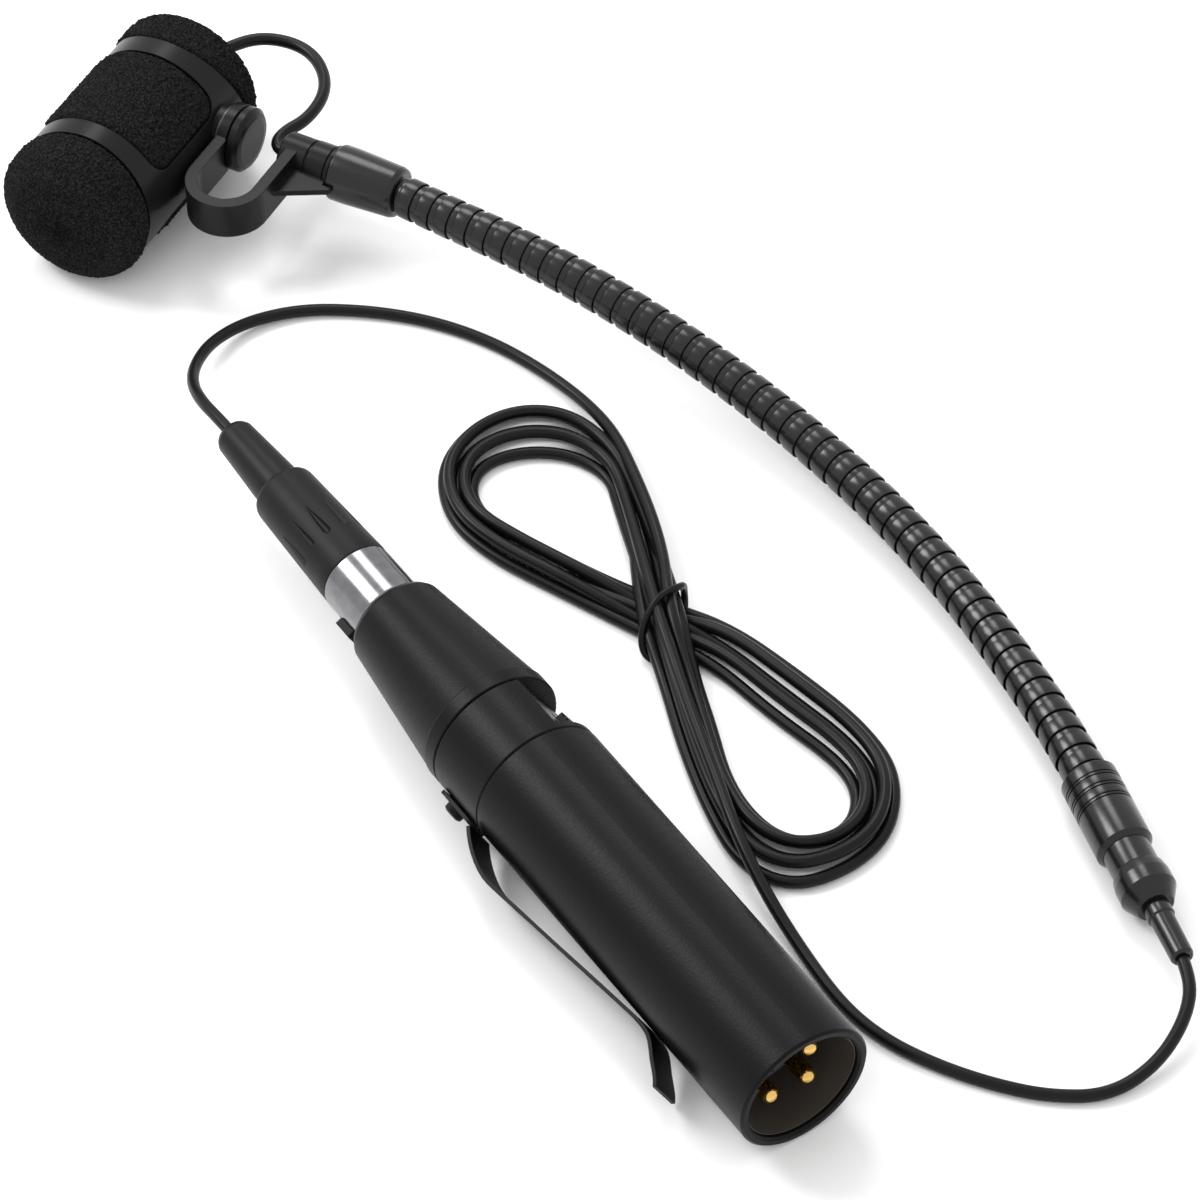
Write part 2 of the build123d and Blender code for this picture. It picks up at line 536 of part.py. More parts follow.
with BuildPart() as hook_arm:
    # The strap: out of the eye, round the bend, and back to the tube.
    with BuildSketch(plan_head) as strap:
        with BuildLine():
            near = Line((PIVOT_T, LEG_NEAR_B), (BEND_T, LEG_NEAR_B))
            bend = ThreePointArc(near @ 1, (BEND_T - (LEG_FAR_B - LEG_NEAR_B) / 2, (LEG_NEAR_B + LEG_FAR_B) / 2),
                                 (BEND_T, LEG_FAR_B))
            Line(bend @ 1, (PIVOT_T - 1.5, LEG_FAR_B))
        trace(line_width=ARM_THICK)
    extrude(amount=ARM_HEIGHT / 2, both=True)
    # The gusset between the far leg and the tube.
    with BuildSketch(plan_head.offset(-0.9)) as gusset:
        with BuildLine():
            Polyline((PIVOT_T - 2, LEG_FAR_B + 0.4), (12.85, LEG_FAR_B + 0.4), (17.0, 30.8), (17.6, 31.0),
                     (17.6, TUBE_END_B - 0.05), (PIVOT_T - 2, TUBE_END_B - 0.05), close=True)
        make_face()
    extrude(amount=0.9)
    # Eye round the pivot, and the tube that the gooseneck's ferrule sits in.
    drum(pivot, EYE_INNER, EYE_OUTER, 4.9)
    turn(tube_axis, [(TUBE_START_B, 0), (TUBE_START_B, TUBE_R - 0.3), (TUBE_START_B + 0.3, TUBE_R),
                     (25.3, TUBE_R), (25.3, TUBE_R - 0.25), (25.8, TUBE_R - 0.25), (25.8, TUBE_R + 0.1),
                     (28.6, TUBE_R + 0.1), (28.6, TUBE_R - 0.15), (29.0, TUBE_R - 0.15), (29.0, TUBE_R + 0.4),
                     (TUBE_END_B, TUBE_R + 0.4), (TUBE_END_B, 0)])
    drum(tube_axis, TUBE_START_B - 1, TUBE_END_B + 6, 2.4, Mode.SUBTRACT)
    # Seat for the button, and the pivot's bore.
    drum(pivot, EYE_OUTER, EYE_OUTER + 2.5, 5.1, Mode.SUBTRACT)
    drum(pivot, EYE_INNER - 1, EYE_OUTER + 1, 1.52, Mode.SUBTRACT)
save(hook_arm, "hook_arm")

FERRULE_END_B = 40.1
with BuildPart() as neck_ferrule:
    ball_b = FERRULE_END_B - MOUTH
    with BuildSketch(tube_axis):
        with BuildLine():
            Polyline((ball_b - math.sqrt(SOCKET_R ** 2 - NECK_BORE_R ** 2), NECK_BORE_R), (34.0, NECK_BORE_R),
                     (34.0, 1.5), (TUBE_START_B + 2.5, 1.5), (TUBE_START_B + 2.5, 2.37), (TUBE_END_B + 0.05, 2.37),
                     (TUBE_END_B + 0.05, 4.0), (TUBE_END_B + 0.3, 4.2), (32.0, 4.2), (FERRULE_END_B - 0.8, 3.85),
                     (FERRULE_END_B - 0.2, 3.6), (FERRULE_END_B, 3.2),
                     (FERRULE_END_B, math.sqrt(SOCKET_R ** 2 - MOUTH ** 2)))
            ThreePointArc((FERRULE_END_B, math.sqrt(SOCKET_R ** 2 - MOUTH ** 2)), (ball_b, SOCKET_R),
                          (ball_b - math.sqrt(SOCKET_R ** 2 - NECK_BORE_R ** 2), NECK_BORE_R))
        make_face()
    revolve(axis=Axis(tube_axis.origin, tube_axis.x_dir))
save(neck_ferrule, "neck_ferrule")

# ------------------------------------------------------------------------------------------------
# Base of the gooseneck
# ------------------------------------------------------------------------------------------------

base_top = spot(BASE_TOP[0], BASE_TOP[1], BASE_Z)
base_tail = spot(BASE_TAIL[0], BASE_TAIL[1], BASE_Z)
base_axis = (base_top - base_tail).normalized()
base = Plane(origin=base_top, x_dir=base_axis, z_dir=base_axis.cross(UP))
BALL_FLAT = math.sqrt(BALL_R ** 2 - NECK_BORE_R ** 2)
BALL_ROOT_R = math.sqrt(BALL_R ** 2 - SHOULDER ** 2)

GROOVES = (2.0, 3.9, 5.8)
with BuildPart() as base_collar:
    with BuildSketch(base):
        with BuildLine():
            Polyline((0, BALL_ROOT_R), (0, COLLAR_R - 0.35), (-0.35, COLLAR_R), (-12.5, COLLAR_R),
                     (-13.2, COLLAR_R - 0.6), (-13.2, 2.3), (-9, 2.3), (-9, NECK_BORE_R),
                     (SHOULDER + BALL_FLAT, NECK_BORE_R))
            ThreePointArc((SHOULDER + BALL_FLAT, NECK_BORE_R), (SHOULDER, BALL_R), (0, BALL_ROOT_R))
        make_face()
    revolve(axis=Axis(base.origin, base.x_dir))
    for groove in GROOVES:
        for line in (0, 0.5):
            turn(base, [(-groove - line, COLLAR_R - 0.14), (-groove - line - 0.22, COLLAR_R - 0.14),
                        (-groove - line - 0.22, COLLAR_R + 1), (-groove - line, COLLAR_R + 1)], Mode.SUBTRACT)
save(base_collar, "base_collar")

with BuildPart() as base_flange:
    turn(base, [(-9.1, 1.3), (-9.1, 2.28), (-13.25, 2.28), (-13.25, 3.23), (-16.9, 3.23), (-17.3, 3.6),
                (-18.6, 3.83), (-20.6, 3.83), (-22.3, 2.9), (-22.97, 2.5), (-22.97, 1.3)])
save(base_flange, "base_flange")

BASE_LENGTH = (base_top - base_tail).length
with BuildPart() as strain_relief:
    turn(base, [(-19, CORD_R + 0.02), (-19, 1.28), (-23.0, 1.28), (-23.0, 1.84), (-24.8, 1.84), (-25.0, 1.62),
                (-BASE_LENGTH + 0.4, 1.57), (-BASE_LENGTH, 1.35), (-BASE_LENGTH, CORD_R + 0.02)])
save(strain_relief, "strain_relief")

# ------------------------------------------------------------------------------------------------
# Gooseneck: links that ride on each other ball in socket
# ------------------------------------------------------------------------------------------------

first_ball = base_top + base_axis * SHOULDER
last_ball = head_spot(PIVOT_T, FERRULE_END_B - MOUTH)
with BuildLine() as neck_route:
    Spline(last_ball, *[spot(*point) for point in NECK_CENTRELINE], first_ball,
           tangents=(SIDE, -base_axis))
neck_line = neck_route.edges()[0]
LINK_PITCH = neck_line.length / LINK_COUNT
hinge_points = [neck_line.position_at(neck_line.length - LINK_PITCH * step, position_mode=PositionMode.LENGTH)
                for step in range(LINK_COUNT + 1)]


def link_outline(length):
    """The turned outline of one link's outside, from its socket's mouth to its shoulder."""
    ring_pitch = length / RINGS_PER_LINK
    raised = ring_pitch * 0.6
    half_gap = (ring_pitch - raised - (SHOULDER - MOUTH)) / 2
    points = [(-MOUTH, math.sqrt(SOCKET_R ** 2 - MOUTH ** 2)), (-MOUTH, NECK_GROOVE_R)]
    for ring in range(RINGS_PER_LINK):
        start = -MOUTH + half_gap + ring * ring_pitch
        points += [(start, NECK_GROOVE_R), (start + 0.08, NECK_R), (start + raised - 0.08, NECK_R),
                   (start + raised, NECK_GROOVE_R)]
    points += [(length - SHOULDER, NECK_GROOVE_R), (length - SHOULDER, BALL_ROOT_R)]
    return points


for number in range(1, LINK_COUNT + 1):
    start_point = hinge_points[number - 1]
    end_point = hinge_points[number]
    link_axis = (end_point - start_point).normalized()
    link_length = (end_point - start_point).length
    link_plane = Plane(origin=start_point, x_dir=link_axis, z_dir=link_axis.cross(UP))
    socket_floor = math.sqrt(SOCKET_R ** 2 - NECK_BORE_R ** 2)
    outline = link_outline(link_length)
    with BuildPart() as neck_link:
        with BuildSketch(link_plane):
            with BuildLine():
                Polyline(*outline)
                ThreePointArc(outline[-1], (link_length, BALL_R), (link_length + BALL_FLAT, NECK_BORE_R))
                Line((link_length + BALL_FLAT, NECK_BORE_R), (socket_floor, NECK_BORE_R))
                ThreePointArc((socket_floor, NECK_BORE_R), (0, SOCKET_R), outline[0])
            make_face()
        revolve(axis=Axis(link_plane.origin, link_plane.x_dir))
    save(neck_link, "neck_link_%02d" % number)

print("neck length %.2f" % neck_line.length, "link pitch %.3f" % LINK_PITCH)
for index, point in enumerate(hinge_points):
    print("hinge %d %.4f %.4f %.4f" % (index, point.X, point.Y, point.Z))

# ------------------------------------------------------------------------------------------------
# Leads and the hank
# ------------------------------------------------------------------------------------------------

LEAD_ROUTE = [head_spot(t, b, lift) for t, b, lift in (
    (27.0, 0, 0), (33.5, 0, 0), (38.3, 1.6, 0.2), (42.4, 5.0, 0.4), (43.6, 10.6, 0.4), (41.6, 15.6, 0.4),
    (36.6, 19.6, 0.3), (30.0, 20.3, 0.2), (25.4, 18.3, 0.1), (22.4, 18.9, 0), (22.0, 22.6, 0), (22.0, 26.0, 0))]
tube(LEAD_ROUTE, LEAD_R, "capsule_lead")

CORD_NEAR = [spot(*point) for point in (
    (55.4, -3.3, 4.0), (53.9, -8.8, 3.9), (49.7, -13.3, 3.1), (42.8, -16.4, 1.7), (35.2, -16.6, 0.95),
    (28.9, -12.6, 0.9), (24.0, -7.0, 0.9), (19.9, -0.6, 0.9), (16.9, 6.2, 0.9),
    (15.7, 13.6, 0.9), (16.6, 23.8, 0.9), (17.5, 33.0, 0.9), (19.4, 42.6, 1.2), (22.6, 51.8, 2.0))]
tube(CORD_NEAR, CORD_R, "cord_neck_to_coil")

CORD_FAR = [spot(*point) for point in (
    (42.0, 95.0, 2.0), (45.3, 104.6, 1.2), (47.9, 113.6, 0.9), (48.5, 122.4, 0.9), (47.2, 131.6, 0.9),
    (44.4, 140.2, 0.9), (39.6, 148.4, 0.9), (33.2, 155.2, 0.9), (25.6, 160.6, 0.95), (17.4, 162.4, 1.4),
    (10.6, 160.8, 2.4), (5.4, 156.6, 4.0), (2.0, 151.4, 6.3), (0.2, 145.6, 8.6), (0.0, 139.0, 9.7),
    (0.0, 132.4, 9.7))]
tube(CORD_FAR, CORD_R, "cord_coil_to_plug")

HANK_OUTSIDE = [(46.4, 121.6), (42.0, 126.0), (35.7, 127.5), (29.2, 125.1), (22.6, 118.6), (20.4, 109.0),
                (24.2, 97.2), (28.6, 82.6), (28.0, 73.2), (22.6, 60.4), (19.0, 48.0), (18.2, 38.6),
                (21.4, 33.5), (30.6, 31.5), (38.2, 33.9), (44.0, 41.6), (45.9, 50.9), (44.0, 63.0),
                (40.4, 75.0), (38.8, 82.0), (40.9, 90.6), (44.4, 100.6), (47.2, 111.4)]
HANK_UPPER_EYE = [(26.4, 117.8), (31.6, 118.8), (38.4, 115.0), (42.6, 109.6), (42.4, 101.6), (37.6, 92.4),
                  (34.6, 88.6), (31.2, 94.0), (27.0, 105.4), (25.0, 113.8)]
HANK_LOWER_EYE = [(32.6, 68.8), (35.6, 58.4), (37.9, 46.4), (36.6, 39.8), (31.6, 38.6), (27.0, 40.4),
                  (25.6, 48.4), (28.2, 59.4)]


def closed_outline(points):
    """A smooth closed sketch face through plan points."""
    with BuildSketch() as face:
        with BuildLine():
            Spline(*[(x - ORIGIN_X, y - ORIGIN_Y) for x, y in points], periodic=True)
        make_face()
    return face.sketch


with BuildPart() as cord_coil:
    extrude(closed_outline(HANK_OUTSIDE), amount=HANK_HEIGHT)
    extrude(closed_outline(HANK_UPPER_EYE), amount=HANK_HEIGHT, mode=Mode.SUBTRACT)
    extrude(closed_outline(HANK_LOWER_EYE), amount=HANK_HEIGHT, mode=Mode.SUBTRACT)
save(cord_coil, "cord_coil")

with BuildPart() as coil_tie:
    with BuildSketch(Plane(origin=spot(33.8, 81.6, 3.0), x_dir=(1, 0.12, 0), z_dir=(0.12, -1, 0))):
        RectangleRounded(12.2, 6.0, 2.4)
        RectangleRounded(10.6, 4.4, 1.9, mode=Mode.SUBTRACT)
    extrude(amount=0.6, both=True)
save(coil_tie, "coil_tie")
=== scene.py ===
import bpy
import bmesh
import json
import math
import random
from mathutils import Matrix, Vector, noise


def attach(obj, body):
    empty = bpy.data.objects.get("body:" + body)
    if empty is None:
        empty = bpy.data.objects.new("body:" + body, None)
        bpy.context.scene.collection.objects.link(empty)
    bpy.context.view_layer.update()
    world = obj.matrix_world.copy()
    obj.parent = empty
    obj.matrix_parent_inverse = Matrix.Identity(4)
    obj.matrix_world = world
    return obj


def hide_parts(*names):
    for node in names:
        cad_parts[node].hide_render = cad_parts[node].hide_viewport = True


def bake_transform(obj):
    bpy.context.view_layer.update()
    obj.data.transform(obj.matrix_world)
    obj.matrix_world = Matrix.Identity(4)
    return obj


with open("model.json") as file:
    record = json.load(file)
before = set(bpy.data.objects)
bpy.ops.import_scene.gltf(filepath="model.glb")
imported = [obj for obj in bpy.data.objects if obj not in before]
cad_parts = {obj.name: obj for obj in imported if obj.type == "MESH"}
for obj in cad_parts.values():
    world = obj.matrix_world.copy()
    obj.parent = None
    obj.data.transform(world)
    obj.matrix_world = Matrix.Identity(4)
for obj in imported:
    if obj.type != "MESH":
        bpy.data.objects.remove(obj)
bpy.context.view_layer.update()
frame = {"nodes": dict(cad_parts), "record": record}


# ------------------------------------------------------------------------------------------------
# Places: millimetres counted from the adapter's open end, moved to the frame's origin in metres
# ------------------------------------------------------------------------------------------------

MM = 0.001
ORIGIN_X = 29.37
ORIGIN_Y = 102.703
AXIS_Z = 9.7
UP = Vector((0, 0, 1))


def spot(x, y, z):
    """A place in the shared frame, from millimetres counted from the adapter's open end."""
    return Vector(((x - ORIGIN_X) * MM, (y - ORIGIN_Y) * MM, z * MM))


HEAD_AZIMUTH = math.radians(29)
REAR = Vector((math.cos(HEAD_AZIMUTH), math.sin(HEAD_AZIMUTH), 0))
SIDE = Vector((math.sin(HEAD_AZIMUTH), -math.cos(HEAD_AZIMUTH), 0))
HEAD_FRONT = spot(6.0, 188.1, 11.3)
PIVOT_T = 22.0


def head_spot(t, b, lift=0.0):
    """t behind the cradle's front rim, b beside the head's axis, lift above it, in millimetres."""
    return HEAD_FRONT + (REAR * t + SIDE * b + UP * lift) * MM


def axes(origin, along):
    """A frame whose local X runs along an axis and whose local Y leans to the sky, as a matrix."""
    x = along.normalized()
    y = (UP - x * UP.dot(x)).normalized()
    z = x.cross(y)
    matrix = Matrix((x, y, z)).transposed().to_4x4()
    matrix.translation = origin
    return matrix


ADAPTER = axes(spot(0, 0, AXIS_Z), Vector((0, 1, 0)))
HEAD = axes(HEAD_FRONT, REAR)
PIVOT = axes(head_spot(PIVOT_T, 0), SIDE)

# ------------------------------------------------------------------------------------------------
# Camera
# ------------------------------------------------------------------------------------------------


def new_object(name, data):
    """Put an object with this data into the scene."""
    piece = bpy.data.objects.new(name, data)
    bpy.context.scene.collection.objects.link(piece)
    return piece


CAMERA_RIGHT = Vector((0.83140, -0.55567, 0.0))
CAMERA_LOOK = Vector((0.37975, 0.56818, -0.73004))
CAMERA_PLACE = spot(-229.309, -297.846, 498.088)


def make_camera():
    """The photo's camera; its lens and sensor are in millimetres and its clip distances in metres."""
    data = bpy.data.cameras.new("camera")
    data.lens = 150
    data.sensor_width = 36
    data.clip_start = 0.05
    data.clip_end = 20
    above = CAMERA_RIGHT.cross(CAMERA_LOOK)
    matrix = Matrix((CAMERA_RIGHT, above, -CAMERA_LOOK)).transposed().to_4x4()
    matrix.translation = CAMERA_PLACE
    camera = new_object("camera", data)
    camera.matrix_world = matrix
    bpy.context.scene.camera = camera


make_camera()

# ------------------------------------------------------------------------------------------------
# Materials
# ------------------------------------------------------------------------------------------------


BROAD_NOISE = 0.08
ROUGH_DRIFT = 0.05


def new_material(name):
    """A material with its nodes, its links and its main shader."""
    material = bpy.data.materials.new(name)
    material.use_nodes = True
    nodes = material.node_tree.nodes
    shader = nodes["Principled BSDF"]
    return material, nodes, material.node_tree.links, shader


def add_noise(nodes, links, scale, detail, roughness=0.5):
    """Noise over the object's own coordinates; scale is features per millimetre."""
    place = nodes.new("ShaderNodeTexCoord")
    texture = nodes.new("ShaderNodeTexNoise")
    texture.inputs["Scale"].default_value = scale / MM
    texture.inputs["Detail"].default_value = detail
    texture.inputs["Roughness"].default_value = roughness
    links.new(place.outputs["Object"], texture.inputs["Vector"])
    return texture


def add_bump(nodes, links, shader, height, strength, distance, edge=0.0):
    """Raised grain; edge rounds the look of sharp corners by that many millimetres."""
    bump = nodes.new("ShaderNodeBump")
    bump.inputs["Strength"].default_value = strength
    bump.inputs["Distance"].default_value = distance * MM
    links.new(height, bump.inputs["Height"])
    if edge:
        bevel = nodes.new("ShaderNodeBevel")
        bevel.samples = 6
        bevel.inputs["Radius"].default_value = edge * MM
        links.new(bevel.outputs["Normal"], bump.inputs["Normal"])
    links.new(bump.outputs["Normal"], shader.inputs["Normal"])


def spread_value(nodes, links, source, low, high, target):
    """Map a 0-1 value to a range and feed it to a socket."""
    ramp = nodes.new("ShaderNodeMapRange")
    ramp.inputs["To Min"].default_value = low
    ramp.inputs["To Max"].default_value = high
    links.new(source, ramp.inputs["Value"])
    links.new(ramp.outputs["Result"], target)


def tint(nodes, links, source, dark, light, shader):
    """Colour between two tones, led by a texture."""
    ramp = nodes.new("ShaderNodeValToRGB")
    ramp.color_ramp.elements[0].color = (*dark, 1)
    ramp.color_ramp.elements[1].color = (*light, 1)
    ramp.color_ramp.elements[0].position = 0.3
    ramp.color_ramp.elements[1].position = 0.7
    links.new(source, ramp.inputs["Fac"])
    links.new(ramp.outputs["Color"], shader.inputs["Base Color"])


def grainy(name, dark, light, rough, grain, depth, strength, metallic=0.0, specular=0.3, edge=0.0):
    """A finish with fine grain: colour and roughness drift a little, and the grain is raised."""
    material, nodes, links, shader = new_material(name)
    fine = add_noise(nodes, links, grain, 3.0)
    broad = add_noise(nodes, links, BROAD_NOISE, 2.0)
    tint(nodes, links, broad.outputs["Fac"], dark, light, shader)
    spread_value(nodes, links, fine.outputs["Fac"], rough - ROUGH_DRIFT, rough + ROUGH_DRIFT,
                 shader.inputs["Roughness"])
    add_bump(nodes, links, shader, fine.outputs["Fac"], strength, depth, edge)
    shader.inputs["Metallic"].default_value = metallic
    shader.inputs["Specular IOR Level"].default_value = specular
    return material


def grey(level, warmth=0.0):
    """A grey, warmer by a share of its level."""
    return (level * (1 + warmth), level, level * (1 - warmth))


def foam_finish():
    """Dull black foam with paler specks on its grain."""
    material, nodes, links, shader = new_material("foam")
    grains = add_noise(nodes, links, 3.4, 3.0, 0.65)
    speckle = nodes.new("ShaderNodeValToRGB")
    speckle.color_ramp.elements[0].position = 0.44
    speckle.color_ramp.elements[0].color = (*grey(0.0045), 1)
    speckle.color_ramp.elements[1].position = 0.8
    speckle.color_ramp.elements[1].color = (*grey(0.042), 1)
    links.new(grains.outputs["Fac"], speckle.inputs["Fac"])
    links.new(speckle.outputs["Color"], shader.inputs["Base Color"])
    shader.inputs["Roughness"].default_value = 0.95
    shader.inputs["Specular IOR Level"].default_value = 0.05
    add_bump(nodes, links, shader, grains.outputs["Fac"], 0.7, 0.3)
    return material


def chrome_finish():
    """Polished metal, darker than real chrome, as the photo's plug looks."""
    material, nodes, links, shader = new_material("chrome")
    drift = add_noise(nodes, links, 0.6, 2.0)
    # Painted shade: the low base colour stands in for the dim surroundings the polished shell reflects; the
    # real shell is much paler.
    tint(nodes, links, drift.outputs["Fac"], (0.16, 0.16, 0.17), (0.2, 0.2, 0.21), shader)
    spread_value(nodes, links, drift.outputs["Fac"], 0.16, 0.22, shader.inputs["Roughness"])
    shader.inputs["Metallic"].default_value = 1.0
    return material


MATERIALS = {
    "foam": foam_finish(),
    "cradle_plastic": grainy("cradle_plastic", grey(0.0055), grey(0.0075),
                             rough=0.3, grain=4.0, depth=0.01, strength=0.15,
                             specular=0.15, edge=0.16),
    "neck_metal": grainy("neck_metal", grey(0.004, -0.02), grey(0.0055, -0.02),
                         rough=0.23, grain=1.2, depth=0.01, strength=0.1,
                         specular=0.38, edge=0.03),
    "adapter_metal": grainy("adapter_metal", grey(0.0022), grey(0.003),
                            rough=0.38, grain=2.6, depth=0.05, strength=0.45,
                            specular=0.12, edge=0.18),
    "chrome": chrome_finish(),
    "contact_gold": grainy("contact_gold", (0.68, 0.42, 0.12), (0.78, 0.5, 0.16),
                           rough=0.16, grain=1.0, depth=0.005, strength=0.1,
                           metallic=1.0),
    "clip_steel": grainy("clip_steel", grey(0.004), grey(0.006),
                         rough=0.42, grain=4.0, depth=0.01, strength=0.2,
                         specular=0.12, edge=0.05),
    "backshell_black": grainy("backshell_black", grey(0.0038), grey(0.005),
                              rough=0.46, grain=6.0, depth=0.03, strength=0.35,
                              specular=0.16, edge=0.04),
    "rubber": grainy("rubber", grey(0.0042), grey(0.0055),
                     rough=0.42, grain=3.0, depth=0.01, strength=0.2,
                     specular=0.16),
    "cord_jacket": grainy("cord_jacket", grey(0.0036), grey(0.0048),
                          rough=0.34, grain=2.5, depth=0.01, strength=0.15,
                          specular=0.17),
    # Painted reflection and sheen: the warm tint stands in for the gold pins' reflections, and the raised
    # level stands in for light on the socket's inner wall.
    "insulator": grainy("insulator", grey(0.035, 0.15), grey(0.045, 0.15),
                        rough=0.3, grain=3.0, depth=0.01, strength=0.2,
                        specular=0.5),
    "switch_plastic": grainy("switch_plastic", grey(0.004), grey(0.005),
                             rough=0.45, grain=3.0, depth=0.01, strength=0.2,
                             specular=0.12),
    "board": grainy("board", (0.02, 0.09, 0.04), (0.03, 0.12, 0.05),
                    rough=0.4, grain=1.0, depth=0.01, strength=0.2),
    "component": grainy("component", (0.02, 0.02, 0.03), (0.03, 0.03, 0.045),
                        rough=0.35, grain=1.5, depth=0.01, strength=0.1),
    "steel": grainy("steel", grey(0.45), grey(0.55),
                    rough=0.35, grain=2.0, depth=0.005, strength=0.1,
                    metallic=1.0),
    "capsule_metal": grainy("capsule_metal", (0.5, 0.44, 0.3), (0.6, 0.53, 0.38),
                            rough=0.35, grain=2.0, depth=0.005, strength=0.1,
                            metallic=1.0),
}

NODE_SLOTS = {row["node"]: row["material_slot"] for row in frame["record"]["subparts"]}


def dress_frame():
    """Give each carried-over CAD node its finish."""
    for name, piece in frame["nodes"].items():
        piece.data.materials.clear()
        piece.data.materials.append(MATERIALS[NODE_SLOTS[name]])


dress_frame()

# ------------------------------------------------------------------------------------------------
# Mesh tools
# ------------------------------------------------------------------------------------------------


def place_mesh(name, mesh, slot, body=None, stands_for=()):
    """Make a piece of a mesh: name it, finish it, and ride it on its body."""
    piece = new_object(name, mesh)
    mesh.materials.clear()
    mesh.materials.append(MATERIALS[slot])
    mesh.shade_smooth()
    if body:
        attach(piece, body)
    if stands_for:
        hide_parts(*stands_for)
    return piece


TINY = 1e-6
CORNER_SHARE = 0.45
NEARLY_STRAIGHT = math.radians(172)
TURNED_AROUND = 128
CRISP_TURN = math.radians(18)
SOFTENED_TURN = math.radians(35)


def rounded(points, steps=4):
    """An outline with its corners rounded, from points of (along, out, corner radius)."""
    result = []
    count = len(points)
    for index, (along, out, radius) in enumerate(points):
        here = Vector((along, out))
        before = Vector(points[index - 1][:2]) - here
        after = Vector(points[(index + 1) % count][:2]) - here
        reach = min(before.length, after.length) * CORNER_SHARE
        if radius <= 0 or reach < TINY or here.y < TINY:
            result.append(here)
            continue
        turn = before.angle(after)
        if turn > NEARLY_STRAIGHT:
            result.append(here)
            continue
        run = min(radius / math.tan(turn / 2), reach)
        start = here + before.normalized() * run
        end = here + after.normalized() * run
        for step in range(steps + 1):
            share = step / steps
            result.append(start.lerp(here, share).lerp(here.lerp(end, share), share))
    return result


def finished_mesh(name, builder):
    """Turn the built faces outwards and make a mesh of them."""
    bmesh.ops.recalc_face_normals(builder, faces=builder.faces)
    mesh = bpy.data.meshes.new(name)
    builder.to_mesh(mesh)
    builder.free()
    return mesh


def merged_mesh(name, parts):
    """Several meshes as one."""
    builder = bmesh.new()
    for part in parts:
        builder.from_mesh(part)
    mesh = bpy.data.meshes.new(name)
    builder.to_mesh(mesh)
    builder.free()
    return mesh


def join_rings(builder, pairs, around):
    """Faces between rings of vertices; a ring of one vertex is a tip, and two tips make no face."""
    for first, second in pairs:
        if len(first) == 1 and len(second) == 1:
            continue
        for step in range(around):
            ahead = (step + 1) % around
            if len(first) == 1:
                corners = (first[0], second[step], second[ahead])
            elif len(second) == 1:
                corners = (first[step], second[0], first[ahead])
            else:
                corners = (first[step], second[step], second[ahead], first[ahead])
            builder.faces.new(corners)


def turned_mesh(name, matrix, outline, around=TURNED_AROUND):
    """A closed solid turned about the matrix's X axis from an outline in millimetres."""
    builder = bmesh.new()
    rings = []
    for point in outline:
        if point.y < TINY:
            rings.append([builder.verts.new(matrix @ Vector((point.x * MM, 0, 0)))])
            continue
        ring = []
        for step in range(around):
            angle = 2 * math.pi * step / around
            local = Vector((point.x, point.y * math.cos(angle), point.y * math.sin(angle))) * MM
            ring.append(builder.verts.new(matrix @ local))
        rings.append(ring)
    join_rings(builder, zip(rings, rings[1:] + rings[:1]), around)
    return finished_mesh(name, builder)


def place_crisp(name, mesh, slot, body, stands_for=()):
    """Place a mesh whose flats stay flat: every edge that turns by more than a little is a sharp one."""
    piece = place_mesh(name, mesh, slot, body, stands_for)
    piece.data.set_sharp_from_angle(angle=CRISP_TURN)


def turned(name, matrix, outline, slot, body, stands_for=()):
    """Make a piece by turning an outline of (along, out, corner radius) in millimetres."""
    place_crisp(name, turned_mesh(name, matrix, rounded(outline)), slot, body, stands_for)


def soften(node, width):
    """Round a CAD node's edges for the eye with a bevel modifier; its own mesh stays as it is."""
    bevel = frame["nodes"][node].modifiers.new("soft_edges", "BEVEL")
    bevel.width = width * MM
    bevel.segments = 3
    bevel.limit_method = "ANGLE"
    bevel.angle_limit = SOFTENED_TURN
    bevel.harden_normals = True


# ------------------------------------------------------------------------------------------------
# Cable: one cord from the base through the tied hank to the plug
# ------------------------------------------------------------------------------------------------

CORD_D = 1.75

# From the strain relief to the hank: the CAD's route from above, but rising onto the hank's strands.
CORD_NEAR = [(55.4, -3.3, 4.0), (53.9, -8.8, 3.9), (49.7, -13.3, 3.1), (42.8, -16.4, 1.7),
             (35.2, -16.6, 0.95), (28.9, -12.6, 0.9), (24.0, -7.0, 0.9), (19.9, -0.6, 0.9),
             (16.9, 6.2, 0.9), (15.7, 13.6, 0.9), (16.6, 23.8, 1.0), (17.5, 33.0, 2.4),
             (19.4, 42.6, 4.2), (22.6, 51.8, 4.3), (26.0, 62.0, 4.3), (29.6, 71.8, 4.4)]
# From the hank to the plug, led down from the strands in the same way.
CORD_FAR = [(38.8, 87.6, 4.5), (42.0, 95.0, 4.4), (45.3, 104.6, 3.6), (47.9, 113.6, 2.8),
            (48.5, 122.4, 1.6), (47.2, 131.6, 0.95), (44.4, 140.2, 0.9), (39.6, 148.4, 0.9),
            (33.2, 155.2, 0.9), (25.6, 160.6, 0.95), (17.4, 162.4, 1.4), (10.6, 160.8, 2.4),
            (5.4, 156.6, 4.0), (2.0, 151.4, 6.3), (0.2, 145.6, 8.6), (0.0, 139.0, 9.7), (0.0, 132.4, 9.7)]

